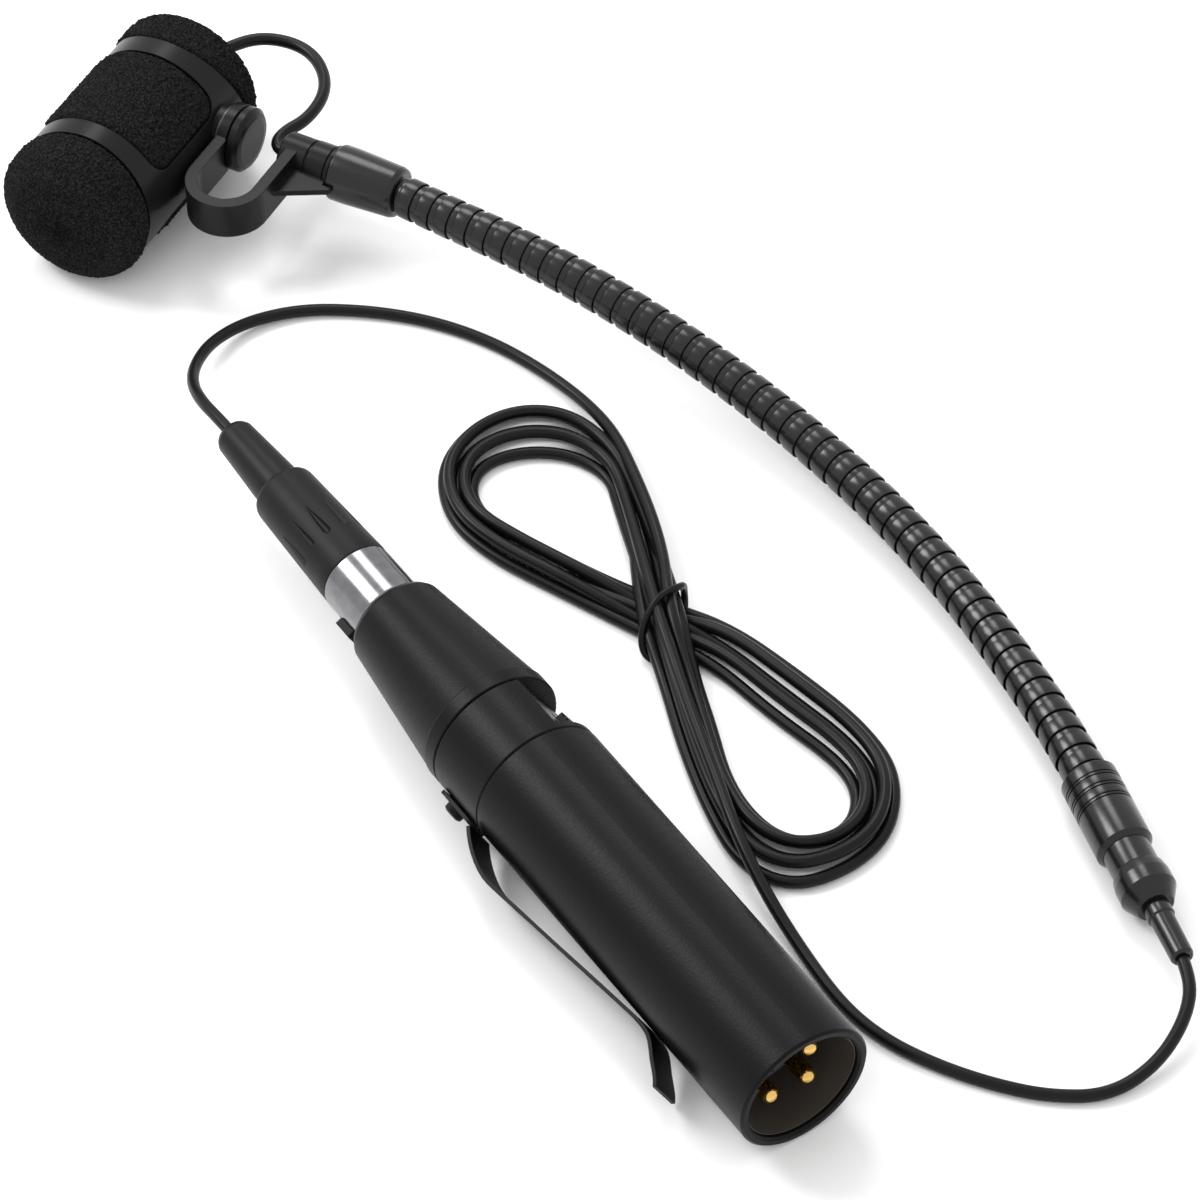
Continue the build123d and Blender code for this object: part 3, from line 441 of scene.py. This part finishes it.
# Stations of one turn, in the order the cord runs: outermost place, innermost place.
UPPER_LOOP = [((44.6, 101.4), (41.2, 102.2)), ((47.0, 112.2), (43.6, 107.8)),
              ((45.6, 121.6), (41.6, 114.4)), ((39.6, 126.4), (36.2, 118.8)),
              ((31.6, 126.2), (30.0, 119.8)), ((24.4, 121.8), (25.6, 116.4)),
              ((20.6, 113.4), (24.4, 110.6)), ((21.4, 104.6), (27.2, 103.4)),
              ((25.6, 94.0), (31.6, 92.0))]
LOWER_LOOP = [((41.0, 74.8), (35.4, 71.2)), ((43.6, 62.8), (36.8, 58.8)),
              ((45.4, 51.0), (39.2, 47.6)), ((44.4, 41.4), (38.4, 41.4)),
              ((38.2, 33.8), (34.4, 37.2)), ((30.4, 31.4), (29.0, 36.9)),
              ((21.8, 32.8), (25.0, 40.4)), ((18.3, 39.8), (24.0, 46.4)),
              ((20.2, 49.8), (25.2, 53.4)), ((23.8, 61.2), (28.6, 61.4)),
              ((28.0, 71.4), (32.0, 70.6))]
# How far out, 0 to 1, and how high the five turns lie in each loop.
UPPER_TURNS = [(0.28, 2.7), (0.0, 0.95), (0.52, 1.0), (1.0, 0.95), (0.8, 2.7)]
LOWER_TURNS = [(0.74, 2.7), (1.0, 0.95), (0.5, 1.0), (0.0, 0.95), (0.24, 2.7)]
# Under the tie the returning strands lie lowest, one of them on the others; the rest cross in two layers.
CROSSING = (33.8, 81.2)
RETURN_ACROSS = [1.0, 2.9, -0.2, -3.0, -1.6]
RETURN_HEIGHT = [0.95, 0.95, 2.3, 0.95, 0.95]
FORWARD_ACROSS = [-0.9, -1.0, -2.75, 0.8, 2.55, 1.0]
FORWARD_HEIGHT = [5.6, 3.9, 3.6, 3.9, 3.6, 5.6]
# Headings of the strands under the tie.
FORWARD = (0.434, 0.901)
BACKWARD = (0.573, -0.819)

TUBE_FINENESS = 6
SPLINE_ORDER = 3


def loop_points(stations, out, height):
    """One turn's places, a share of the way from the innermost to the outermost."""
    return [(inner[0] + (outer[0] - inner[0]) * out, inner[1] + (outer[1] - inner[1]) * out, height)
            for outer, inner in stations]


def cross_point(across, height, heading):
    """A place under the tie, across the heading from the crossing's middle."""
    return (CROSSING[0] + across * heading[1], CROSSING[1] - across * heading[0], height)


def hank_points():
    """The hank's five turns, from the crossing under the tie and back to it."""
    points = [cross_point(FORWARD_ACROSS[0], FORWARD_HEIGHT[0], FORWARD)]
    for turn in range(len(UPPER_TURNS)):
        points += loop_points(UPPER_LOOP, *UPPER_TURNS[turn])
        points.append(cross_point(-RETURN_ACROSS[turn], RETURN_HEIGHT[turn], BACKWARD))
        points += loop_points(LOWER_LOOP, *LOWER_TURNS[turn])
        points.append(cross_point(FORWARD_ACROSS[turn + 1], FORWARD_HEIGHT[turn + 1], FORWARD))
    return points


def round_curve(name, points, radius, steps, closed=False):
    """Curve data for a round cord: it follows points in metres, and its radius is in millimetres."""
    data = bpy.data.curves.new(name, "CURVE")
    data.dimensions = "3D"
    data.bevel_depth = radius * MM
    data.bevel_resolution = TUBE_FINENESS
    data.resolution_u = steps
    data.use_fill_caps = True
    spline = data.splines.new("NURBS")
    spline.points.add(len(points) - 1)
    for point, place in zip(spline.points, points):
        point.co = (*place, 1)
    spline.order_u = SPLINE_ORDER
    spline.use_endpoint_u = not closed
    spline.use_cyclic_u = closed
    return data


CORD_STEPS = 8
cord_route = [spot(*point) for point in CORD_NEAR + hank_points() + CORD_FAR]
cord = new_object("cord", round_curve("cord", cord_route, CORD_D / 2, CORD_STEPS))
cord.data.materials.append(MATERIALS["cord_jacket"])
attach(cord, "base")
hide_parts("cord_neck_to_coil", "cord_coil", "cord_coil_to_plug")

# ------------------------------------------------------------------------------------------------
# Tie round the hank
# ------------------------------------------------------------------------------------------------


TUBE_STEPS = 10


def tube_mesh(name, points, radius, closed=False):
    """A round tube along a smooth line led by the points, as a mesh."""
    guide = new_object(name + "_guide", round_curve(name, points, radius, TUBE_STEPS, closed))
    mesh = bpy.data.meshes.new_from_object(guide.evaluated_get(bpy.context.evaluated_depsgraph_get()))
    bpy.data.objects.remove(guide)
    return mesh


TIE_R = 0.5
TIE_POINTS = [(36.8, 81.0, 6.3), (35.0, 80.9, 6.8), (33.0, 80.8, 6.4), (30.9, 80.1, 4.9),
              (29.3, 79.1, 3.1), (28.5, 77.6, 1.6), (28.9, 76.2, 0.7), (30.4, 75.7, 0.5),
              (33.4, 77.2, 0.5), (36.4, 79.4, 0.6), (38.2, 81.6, 1.4), (38.5, 82.3, 3.4),
              (38.0, 81.7, 5.3)]
tie_route = [spot(*point) for point in TIE_POINTS]
place_mesh("hank_tie", tube_mesh("hank_tie", tie_route, TIE_R, closed=True), "cord_jacket", "base",
           ["coil_tie"])

# ------------------------------------------------------------------------------------------------
# Microphone head: foam windscreen and the lead behind it
# ------------------------------------------------------------------------------------------------

CRADLE_INSIDE_R = 10.4
FOAM_R = 11.38
FOAM_FRONT_T = -2.2
FOAM_FRONT_DEPTH = 5.3
FOAM_REAR_T = 29.2
FOAM_REAR_DEPTH = 4.0
FOAM_AROUND = 440
FOAM_CAP_STEPS = 60
FOAM_SIDE_STEPS = 180
FOAM_SEED = 4
# Under the cradle the foam lies FOAM_TUCK inside its wall; past its edges it swells over FOAM_SWELL.
FOAM_TUCK = 0.15
FOAM_SWELL = 0.9
FOAM_OVERLAP = 0.05
FOAM_LOWEST = 0.00005
CAP_LENGTH_POWER = 0.9
CAP_RADIUS_POWER = 0.8
POLE_SHARE = 1e-4
# How fine the skin's grain and lumps are, along and round the foam, and how far they stand out.
GRAIN_ALONG = 2.6
GRAIN_ROUND = 30
GRAIN_HEIGHT = 0.24
LUMPS_ALONG = 0.9
LUMPS_ROUND = 10
LUMPS_HEIGHT = 0.1
SPECK_HEIGHT = 0.09
COVERED_ROUGH = 0.15
# Near the poles the grain stands out along the axis; away from them it stands out from it.
ALONG_BELOW_SHARE = 0.7
ALONG_STRENGTH = 0.8
OUT_FROM_SHARE = 0.35
# The cradle's open ends, as (lift, t), and the middle, half size and corner radius of its side windows.
CRADLE_FRONT_EDGE = [(-12, -2.6), (0, 0.0), (12, 1.6)]
CRADLE_REAR_EDGE = [(-12, 29.2), (0, 27.4), (12, 24.4)]
WINDOW_T = 13.0
WINDOW_HALF_T = 5.4
WINDOW_LIFT = 14.5
WINDOW_HALF_LIFT = 7.0
WINDOW_CORNER_R = 3.0


def along_line(points, value):
    """Read a stepped straight line at a value."""
    for (x0, y0), (x1, y1) in zip(points, points[1:]):
        if value <= x1:
            return y0 + (y1 - y0) * (value - x0) / (x1 - x0)
    return points[-1][1]


def cradle_cover(t, lift):
    """How far a place lies from the cradle's edges: below 0 under the cradle, above 0 in the open."""
    front = along_line(CRADLE_FRONT_EDGE, lift)
    rear = along_line(CRADLE_REAR_EDGE, lift)
    dt = abs(t - WINDOW_T) - WINDOW_HALF_T
    dl = abs(abs(lift) - WINDOW_LIFT) - WINDOW_HALF_LIFT
    window = math.hypot(max(dt, 0), max(dl, 0)) + min(max(dt, dl), 0) - WINDOW_CORNER_R
    return max(front - t, t - rear, -window)


def cap_place(turn):
    """A place on the foam's rounded end, as shares of the end's depth and of the full radius."""
    angle = math.pi / 2 * turn
    return math.cos(angle) ** CAP_LENGTH_POWER, math.sin(angle) ** CAP_RADIUS_POWER


def foam_profile():
    """Places from the front pole to the rear pole: how far along, and the share of the full radius."""
    line = []
    for step in range(FOAM_CAP_STEPS):
        ahead, share = cap_place(step / FOAM_CAP_STEPS)
        line.append((FOAM_FRONT_T - FOAM_FRONT_DEPTH * ahead, share))
    for step in range(FOAM_SIDE_STEPS):
        line.append((FOAM_FRONT_T + (FOAM_REAR_T - FOAM_FRONT_T) * step / FOAM_SIDE_STEPS, 1.0))
    for step in range(FOAM_CAP_STEPS):
        behind, share = cap_place(1 - step / FOAM_CAP_STEPS)
        line.append((FOAM_REAR_T + FOAM_REAR_DEPTH * behind, share))
    line.append((FOAM_REAR_T + FOAM_REAR_DEPTH, 0.0))
    return line


def foam_place(t, share, step):
    """One place on the foam's grainy skin, tucked in wherever the cradle covers it."""
    angle = 2 * math.pi * step / FOAM_AROUND
    lift, side = math.cos(angle), math.sin(angle)
    opened = cradle_cover(t, FOAM_R * lift)
    ease = min(max((opened + FOAM_OVERLAP) / FOAM_SWELL, 0.0), 1.0)
    ease = ease * ease * (3 - 2 * ease)
    radius = CRADLE_INSIDE_R - FOAM_TUCK + (FOAM_R - CRADLE_INSIDE_R + FOAM_TUCK) * ease
    radius = min(radius, FOAM_R) * share if share < 1 else radius
    grain = noise.noise(Vector((t * GRAIN_ALONG, GRAIN_ROUND * lift * share, GRAIN_ROUND * side * share)))
    lumps = noise.noise(Vector((t * LUMPS_ALONG, LUMPS_ROUND * lift * share, LUMPS_ROUND * side * share)))
    speck = random.uniform(-SPECK_HEIGHT, SPECK_HEIGHT)
    rough = GRAIN_HEIGHT * grain + LUMPS_HEIGHT * lumps + speck
    rough *= COVERED_ROUGH + (1 - COVERED_ROUGH) * ease
    t_out = 0.0
    if share < ALONG_BELOW_SHARE:
        t_out = -rough if t < 0 else rough
    if share >= OUT_FROM_SHARE:
        radius += rough
    place = HEAD @ (Vector((t + t_out * ALONG_STRENGTH, radius * lift, radius * side)) * MM)
    place.z = max(place.z, FOAM_LOWEST)
    return place


def foam_mesh():
    """The foam's closed skin, from pole to pole."""
    random.seed(FOAM_SEED)
    builder = bmesh.new()
    rings = []
    for t, share in foam_profile():
        if share < POLE_SHARE:
            rings.append([builder.verts.new(HEAD @ Vector((t * MM, 0, 0)))])
        else:
            rings.append([builder.verts.new(foam_place(t, share, step)) for step in range(FOAM_AROUND)])
    join_rings(builder, zip(rings, rings[1:]), FOAM_AROUND)
    return finished_mesh("foam", builder)


foam = place_mesh("foam_windscreen", foam_mesh(), "foam", "head", ["windscreen_foam"])

LEAD_ROUTE = [(27.0, 0, 0), (33.5, 0, 0), (38.3, 1.6, 0.2), (42.4, 5.0, 0.4), (43.6, 10.6, 0.4),
              (41.6, 15.6, 0.4), (36.6, 19.6, 0.3), (30.0, 20.3, 0.2), (25.4, 18.3, 0.1), (22.4, 18.9, 0),
              (22.0, 22.6, 0), (22.0, 26.0, 0)]
LEAD_R = 0.95
lead = place_mesh("capsule_lead_jacket",
                  tube_mesh("lead", [head_spot(*point) for point in LEAD_ROUTE], LEAD_R),
                  "cord_jacket", None, ["capsule_lead"])
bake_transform(lead)

# ------------------------------------------------------------------------------------------------
# Gooseneck: rings that slide a little way under each other
# ------------------------------------------------------------------------------------------------

hinges = {joint["child"]: Vector(joint["pos_m"]) for joint in frame["record"]["behaviour"]["joints"]
          if joint["name"].startswith("neck_")}
LINKS = ["link_%02d" % number for number in range(1, 16)]
neck_places = [hinges[link] for link in LINKS] + [hinges["hook"]]
PITCH = (neck_places[1] - neck_places[0]).length / MM
MOUTH = 1.3
RINGS = 3
RING_PITCH = PITCH / RINGS
# Each ring is set square to the neck's line at this distance behind its lip.
RING_SQUARE = 1.2
TAIL_OVERLAP = 0.55
LAST_TAIL = 2.6
RING_AROUND = 88
CORE_AROUND = 48
CORE_R = 2.28
CORE_START = 0.4
CORE_BALL_R = 2.5
CORE_BALL_TURN = 130
CORE_BALL_STEPS = 8


def neck_frame(distance):
    """A frame on the smooth line through the hinges, so many millimetres from the first hinge."""
    ends = [neck_places[0] * 2 - neck_places[1]] + neck_places + [neck_places[-1] * 2 - neck_places[-2]]
    step = min(max(int(distance // PITCH), 0), len(neck_places) - 2)
    share = distance / PITCH - step
    p0, p1, p2, p3 = ends[step:step + 4]
    place = 0.5 * (2 * p1 + (p2 - p0) * share + (2 * p0 - 5 * p1 + 4 * p2 - p3) * share ** 2
                   + (3 * p1 - p0 - 3 * p2 + p3) * share ** 3)
    along = 0.5 * ((p2 - p0) + 2 * (2 * p0 - 5 * p1 + 4 * p2 - p3) * share
                   + 3 * (3 * p1 - p0 - 3 * p2 + p3) * share ** 2)
    return axes(place, along)


def ring_outline(tail):
    """One ring: a hollow lip, the raised band, a fine step and the narrower tail under the next lip."""
    return rounded([(1.25, 2.3, 0), (1.25, 2.88, 0), (0.0, 2.88, 0.04), (0.0, 3.05, 0.08),
                    (2.02, 3.05, 0.06), (2.05, 2.68, 0), (2.14, 2.68, 0), (2.17, 2.76, 0.02),
                    (tail, 2.74, 0.04), (tail, 2.3, 0)], steps=3)


def neck_link(number):
    """One link's three rings and the ball-ended core they hide."""
    parts = []
    for ring in range(RINGS):
        last = number == len(LINKS) - 1 and ring == RINGS - 1
        tail = LAST_TAIL if last else RING_PITCH + TAIL_OVERLAP
        place = neck_frame(number * PITCH - MOUTH + ring * RING_PITCH + RING_SQUARE)
        lip = place @ Matrix.Translation((-RING_SQUARE * MM, 0, 0))
        parts.append(turned_mesh("ring", lip, ring_outline(tail), RING_AROUND))
    core = [Vector((CORE_START, 0.0)), Vector((CORE_START, CORE_R)), Vector((PITCH - 2.2, CORE_R))]
    for step in range(CORE_BALL_STEPS + 1):
        angle = math.radians(CORE_BALL_TURN - CORE_BALL_TURN * step / CORE_BALL_STEPS)
        core.append(Vector((PITCH + CORE_BALL_R * math.cos(angle), CORE_BALL_R * math.sin(angle))))
    core[-1].y = 0.0
    straight = axes(neck_places[number], neck_places[number + 1] - neck_places[number])
    parts.append(turned_mesh("core", straight, core, CORE_AROUND))
    name = "neck_rings_%02d" % (number + 1)
    place_crisp(name, merged_mesh(name, parts), "neck_metal", LINKS[number],
                ["neck_link_%02d" % (number + 1)])


for number in range(len(LINKS)):
    neck_link(number)

# ------------------------------------------------------------------------------------------------
# Base of the gooseneck
# ------------------------------------------------------------------------------------------------

BASE_TOP = spot(63.0, 24.5, 4.0)
BASE_TAIL = spot(54.6, -6.2, 4.0)
BASE = axes(BASE_TOP, BASE_TOP - BASE_TAIL)
BASE_LENGTH = (BASE_TOP - BASE_TAIL).length / MM
COLLAR_R = 3.9
GROOVES = (2.0, 3.9, 5.8)
GROOVE_LINES = (0, 0.5)
GROOVE_DEPTH = 0.14
GROOVE_WIDTH = 0.22


def ball_arc(radius, centre, first, last, steps=14):
    """Part of a ball's outline, in degrees from the axis."""
    return [(centre + radius * math.cos(math.radians(first + (last - first) * step / steps)),
             radius * math.sin(math.radians(first + (last - first) * step / steps)), 0)
            for step in range(steps + 1)]


def collar_outline():
    """The collar with its socket for the first link and three pairs of fine grooves."""
    outline = [(-9.0, 1.15, 0)] + ball_arc(2.55, 1.95, 27, 139.9)
    outline += [(0, COLLAR_R - 0.35, 0.1), (-0.35, COLLAR_R, 0.15)]
    for groove in GROOVES:
        for line in GROOVE_LINES:
            near = -groove - line
            outline += [(near, COLLAR_R, 0.03), (near, COLLAR_R - GROOVE_DEPTH, 0),
                        (near - GROOVE_WIDTH, COLLAR_R - GROOVE_DEPTH, 0),
                        (near - GROOVE_WIDTH, COLLAR_R, 0.03)]
    outline += [(-12.5, COLLAR_R, 0.2), (-13.2, COLLAR_R - 0.6, 0.15), (-13.2, 2.3, 0), (-9, 2.3, 0)]
    return outline


FLANGE = [(-9.1, 1.3, 0), (-9.1, 2.28, 0), (-13.25, 2.28, 0), (-13.25, 3.23, 0), (-16.9, 3.23, 0.1),
          (-17.3, 3.6, 0.12), (-18.6, 3.83, 0.15), (-20.6, 3.83, 0.15), (-22.3, 2.9, 0.15),
          (-22.97, 2.5, 0.15), (-22.97, 1.3, 0)]
STEM = [(-19, 0.9, 0), (-19, 1.28, 0), (-23.0, 1.28, 0), (-23.0, 1.84, 0.05), (-24.8, 1.84, 0.08),
        (-25.0, 1.62, 0.05), (-BASE_LENGTH + 0.4, 1.57, 0.15), (-BASE_LENGTH, 1.35, 0.1),
        (-BASE_LENGTH, 0.9, 0)]
# The part of the neck's tail that shows between the collar and the first ring.
FIRST_TAIL = [(-0.1, 2.3, 0), (-0.1, 2.74, 0), (1.1, 2.74, 0.04), (1.1, 2.6, 0)]
turned("collar", BASE, collar_outline(), "neck_metal", "base", ["base_collar"])
turned("flange", BASE, FLANGE, "neck_metal", "base", ["base_flange"])
turned("stem", BASE, STEM, "neck_metal", "base", ["strain_relief"])
turned("first_tail", BASE, FIRST_TAIL, "neck_metal", "base")

# ------------------------------------------------------------------------------------------------
# Ferrule at the microphone end
# ------------------------------------------------------------------------------------------------

FERRULE_END = 40.1
FERRULE_SOCKET = ball_arc(2.6, FERRULE_END - MOUTH, 153.8, 60, 12)
FERRULE_BODY = [(FERRULE_END, 3.2, 0.15), (FERRULE_END - 0.2, 3.6, 0.2), (FERRULE_END - 0.8, 3.85, 0.3),
                (32.0, 4.2, 1.0), (29.85, 4.2, 0.2), (29.55, 4.0, 0.15), (29.55, 2.37, 0), (23.5, 2.37, 0),
                (23.5, 1.5, 0), (34.0, 1.5, 0), (34.0, 1.15, 0)]
turned("ferrule", PIVOT, FERRULE_SOCKET + FERRULE_BODY, "neck_metal", "hook", ["neck_ferrule"])

# ------------------------------------------------------------------------------------------------
# Three-pole contacts
# ------------------------------------------------------------------------------------------------


CONTACT_R = 1.2
CONTACT_TIP = 2.4
CONTACT_CIRCLE_R = 4
CONTACT_ANGLES = (44, -46, -136)
CONTACT_AROUND = 64


def contact_outline():
    """A pin with a round tip, and the thinner shank that stands in the insert."""
    turns = [math.radians(degrees) for degrees in range(0, 91, 9)]
    tip = [(CONTACT_TIP + CONTACT_R * (1 - math.cos(turn)), CONTACT_R * math.sin(turn), 0) for turn in turns]
    return tip + [(13.95, CONTACT_R, 0), (13.95, 0.8, 0), (22.5, 0.8, 0.1), (22.5, 0.6, 0),
                  (25.0, 0.6, 0.1), (25.0, 0, 0)]


def contacts():
    """The adapter's three pins as one piece."""
    parts = []
    for angle in CONTACT_ANGLES:
        lean = math.radians(angle)
        centre = spot(CONTACT_CIRCLE_R * math.cos(lean), 0, AXIS_Z + CONTACT_CIRCLE_R * math.sin(lean))
        place = axes(centre, Vector((0, 1, 0)))
        parts.append(turned_mesh("contact", place, rounded(contact_outline()), CONTACT_AROUND))
    place_crisp("contacts", merged_mesh("contacts", parts), "contact_gold", "adapter", ["xlr_contacts"])


contacts()

# ------------------------------------------------------------------------------------------------
# Small plug: chrome shell with the latch's window, backshell with its flutes
# ------------------------------------------------------------------------------------------------

def wrapped(name, outer, inner, around, cut):
    """A wall between two outlines of one length about the adapter's axis, open where cut says so."""
    builder = bmesh.new()
    sheets = []
    for outline in (outer, inner):
        sheet = []
        for y, radius in outline:
            ring = []
            for step in range(around):
                angle = 2 * math.pi * step / around
                out = radius(angle) if callable(radius) else radius
                place = spot(out * math.cos(angle), y, AXIS_Z + out * math.sin(angle))
                ring.append(builder.verts.new(place))
            sheet.append(ring)
        sheets.append(sheet)
    rows = len(outer) - 1
    for row in range(rows):
        for step in range(around):
            ahead = (step + 1) % around
            if cut(row, step):
                continue
            for sheet in sheets:
                builder.faces.new((sheet[row][step], sheet[row + 1][step],
                                   sheet[row + 1][ahead], sheet[row][ahead]))
            # Close the wall's thickness wherever the neighbour is cut away or past the end.
            for near, corner in (((row, step - 1), ((row, step), (row + 1, step))),
                                 ((row, ahead), ((row, ahead), (row + 1, ahead))),
                                 ((row - 1, step), ((row, step), (row, ahead))),
                                 ((row + 1, step), ((row + 1, step), (row + 1, ahead)))):
                outside = near[0] < 0 or near[0] >= rows
                if outside or cut(near[0], near[1] % around):
                    (r0, s0), (r1, s1) = corner
                    builder.faces.new((sheets[0][r0][s0], sheets[0][r1][s1],
                                       sheets[1][r1][s1], sheets[1][r0][s0]))
    return finished_mesh(name, builder)


SHELL_AROUND = 240
SHELL_OUTER = [(84.5, 5.1), (84.62, 5.24), (84.8, 5.3), (90.0, 5.3), (94.62, 5.3), (94.66, 5.72),
               (94.74, 5.82), (94.9, 5.85), (95.04, 5.82), (95.12, 5.72), (95.16, 5.3), (96.6, 5.3),
               (100.2, 5.3), (103.6, 5.3), (103.72, 5.26), (103.8, 5.18)]
SHELL_INNER = [(y, 4.7) for y, _ in SHELL_OUTER[:-3]] + [(101.8, 4.7), (101.85, 3.95), (103.8, 3.95)]
LATCH_ROW = 11
LATCH_LOW = 194
LATCH_HIGH = 222


def latch_window(row, step):
    """Whether this part of the shell is open for the latch's button."""
    angle = 360 * (step + 0.5) / SHELL_AROUND
    return row == LATCH_ROW and LATCH_LOW < angle < LATCH_HIGH


place_crisp("chrome_shell", wrapped("chrome_shell", SHELL_OUTER, SHELL_INNER, SHELL_AROUND, latch_window),
            "chrome", "base", ["plug_shell"])

BACKSHELL_AROUND = 480
BACKSHELL_OUTER = [(103.85, 5.12), (103.95, 5.22), (104.1, 5.25), (122.2, 4.62), (122.6, 4.55),
                   (122.9, 4.4), (123.05, 4.2), (123.1, 4.05)]
BACKSHELL_INNER = [(103.85, 4.5), (107.8, 4.5), (108.0, 3.8), (121.8, 3.8), (122.0, 3.45), (123.1, 3.45)]
FLUTES = 11
FLUTE_PHASE = 103.0
FLUTE_START = 109.0
FLUTE_END = 115.6
FLUTE_HALF = 0.56
FLUTE_DEPTH = 0.5
# The share of a flute's length that its round end takes, how it tapers and how its floor curves.
FLUTE_ROUND = 0.12
FLUTE_TAPER_POWER = 1.6
FLUTE_FLOOR_POWER = 0.7
# The radius a flute's width is measured at.
FLUTE_AT_R = 5.0
# Rows of the fluted wall: this many, this far apart, from just before the flutes.
FLUTE_ROWS = 98
FLUTE_ROW_STEP = 0.07


def flute_depth(y, angle):
    """How deep the flutes cut: rounded at the shell's end and running out to a point at the other."""
    if not FLUTE_START < y < FLUTE_END:
        return 0.0
    run = (y - FLUTE_START) / (FLUTE_END - FLUTE_START)
    nose = 1.0
    if run < FLUTE_ROUND:
        nose = math.sqrt(max(1 - (1 - run / FLUTE_ROUND) ** 2, 0))
    width = FLUTE_HALF * min(nose, 1 - run ** FLUTE_TAPER_POWER)
    turn = 360 / FLUTES
    away = (math.degrees(angle) - FLUTE_PHASE + turn / 2) % turn - turn / 2
    side = abs(math.radians(away)) * FLUTE_AT_R
    if side >= width:
        return 0.0
    return FLUTE_DEPTH * (width / FLUTE_HALF) * (1 - (side / width) ** 2) ** FLUTE_FLOOR_POWER


def fluted_mesh():
    """The backshell's wall, with fine rows only where its flutes are."""
    places = [103.85, 103.95, 104.1, 106.0, 108.8]
    places += [108.9 + FLUTE_ROW_STEP * step for step in range(FLUTE_ROWS)]
    places += [116.0, 119.0, 122.2, 122.6, 122.9, 123.05, 123.1]
    outer = [(y, lambda angle, y=y: along_line(BACKSHELL_OUTER, y) - flute_depth(y, angle))
             for y in places]
    inner = [(y, along_line(BACKSHELL_INNER, y)) for y in places]
    return wrapped("fluted_backshell", outer, inner, BACKSHELL_AROUND, lambda row, step: False)


place_crisp("fluted_backshell", fluted_mesh(), "backshell_black", "base", ["plug_backshell"])

BOOT = [(119.6, 0.92, 0), (119.6, 3.7, 0.1), (121.85, 3.7, 0.1), (121.85, 2.87, 0), (123.15, 2.87, 0),
        (123.15, 3.42, 0.05), (125.3, 3.4, 0.6), (135.6, 2.8, 0.8), (136.35, 2.45, 0.4),
        (136.6, 1.9, 0.2), (136.6, 0.92, 0.05)]
turned("boot", ADAPTER, BOOT, "rubber", "base", ["plug_boot"])

# Dark moulded lining of the three-pole socket, in the insulator finish with its painted reflection and
# sheen.
LINING = [(0.75, 8.12, 0.05), (0.75, 7.98, 0.05), (9.0, 7.98, 0.05), (9.1, 7.7, 0.05), (13.95, 7.7, 0),
          (13.95, 8.12, 0)]
turned("socket_lining", ADAPTER, LINING, "insulator", "adapter")

# ------------------------------------------------------------------------------------------------
# Soft edges on the pieces that keep their own shape
# ------------------------------------------------------------------------------------------------

# Bevel widths in millimetres.
SOFT_EDGES = {"head_cradle": 0.12, "hook_arm": 0.22, "pivot_button": 0.35, "clip_blade": 0.06,
              "clip_foot": 0.08, "clip_screw": 0.1, "plug_latch_button": 0.5, "bass_switch_slider": 0.15}
for node, width in SOFT_EDGES.items():
    soften(node, width)

# ------------------------------------------------------------------------------------------------
# Stage
# ------------------------------------------------------------------------------------------------


WORLD_STRENGTH = 1.1
FLOOR_HALF = 3.0
FLOOR_LEVEL = 0.95


def make_world():
    """An even white sky, shown without any change of tone."""
    scene = bpy.context.scene
    scene.view_settings.view_transform = "Standard"
    world = bpy.data.worlds.new("world")
    world.use_nodes = True
    sky = world.node_tree.nodes["Background"]
    sky.inputs["Color"].default_value = (1, 1, 1, 1)
    sky.inputs["Strength"].default_value = WORLD_STRENGTH
    scene.world = world


def make_floor():
    """The white table."""
    mesh = bpy.data.meshes.new("floor")
    corners = [(x * FLOOR_HALF, y * FLOOR_HALF, 0) for x, y in ((-1, -1), (1, -1), (1, 1), (-1, 1))]
    mesh.from_pydata(corners, [], [(0, 1, 2, 3)])
    floor = new_object("floor", mesh)
    material, _, _, shader = new_material("floor")
    shader.inputs["Base Color"].default_value = (*grey(FLOOR_LEVEL), 1)
    shader.inputs["Roughness"].default_value = 0.3
    shader.inputs["Specular IOR Level"].default_value = 0.3
    mesh.materials.append(material)


def area_light(name, place, size, power):
    """A rectangle of light, in metres and watts, that faces the frame's origin."""
    data = bpy.data.lights.new(name, "AREA")
    data.shape = "RECTANGLE"
    data.size, data.size_y = size
    data.energy = power
    lamp = new_object(name, data)
    lamp.location = place
    lamp.rotation_euler = Vector(place).to_track_quat("Z", "Y").to_euler()


make_world()
make_floor()
area_light("key", (-0.42, 0.58, 0.70), (0.3, 0.38), power=5)
area_light("side", (0.24, 0.57, 0.8), (0.3, 0.4), power=2.5)
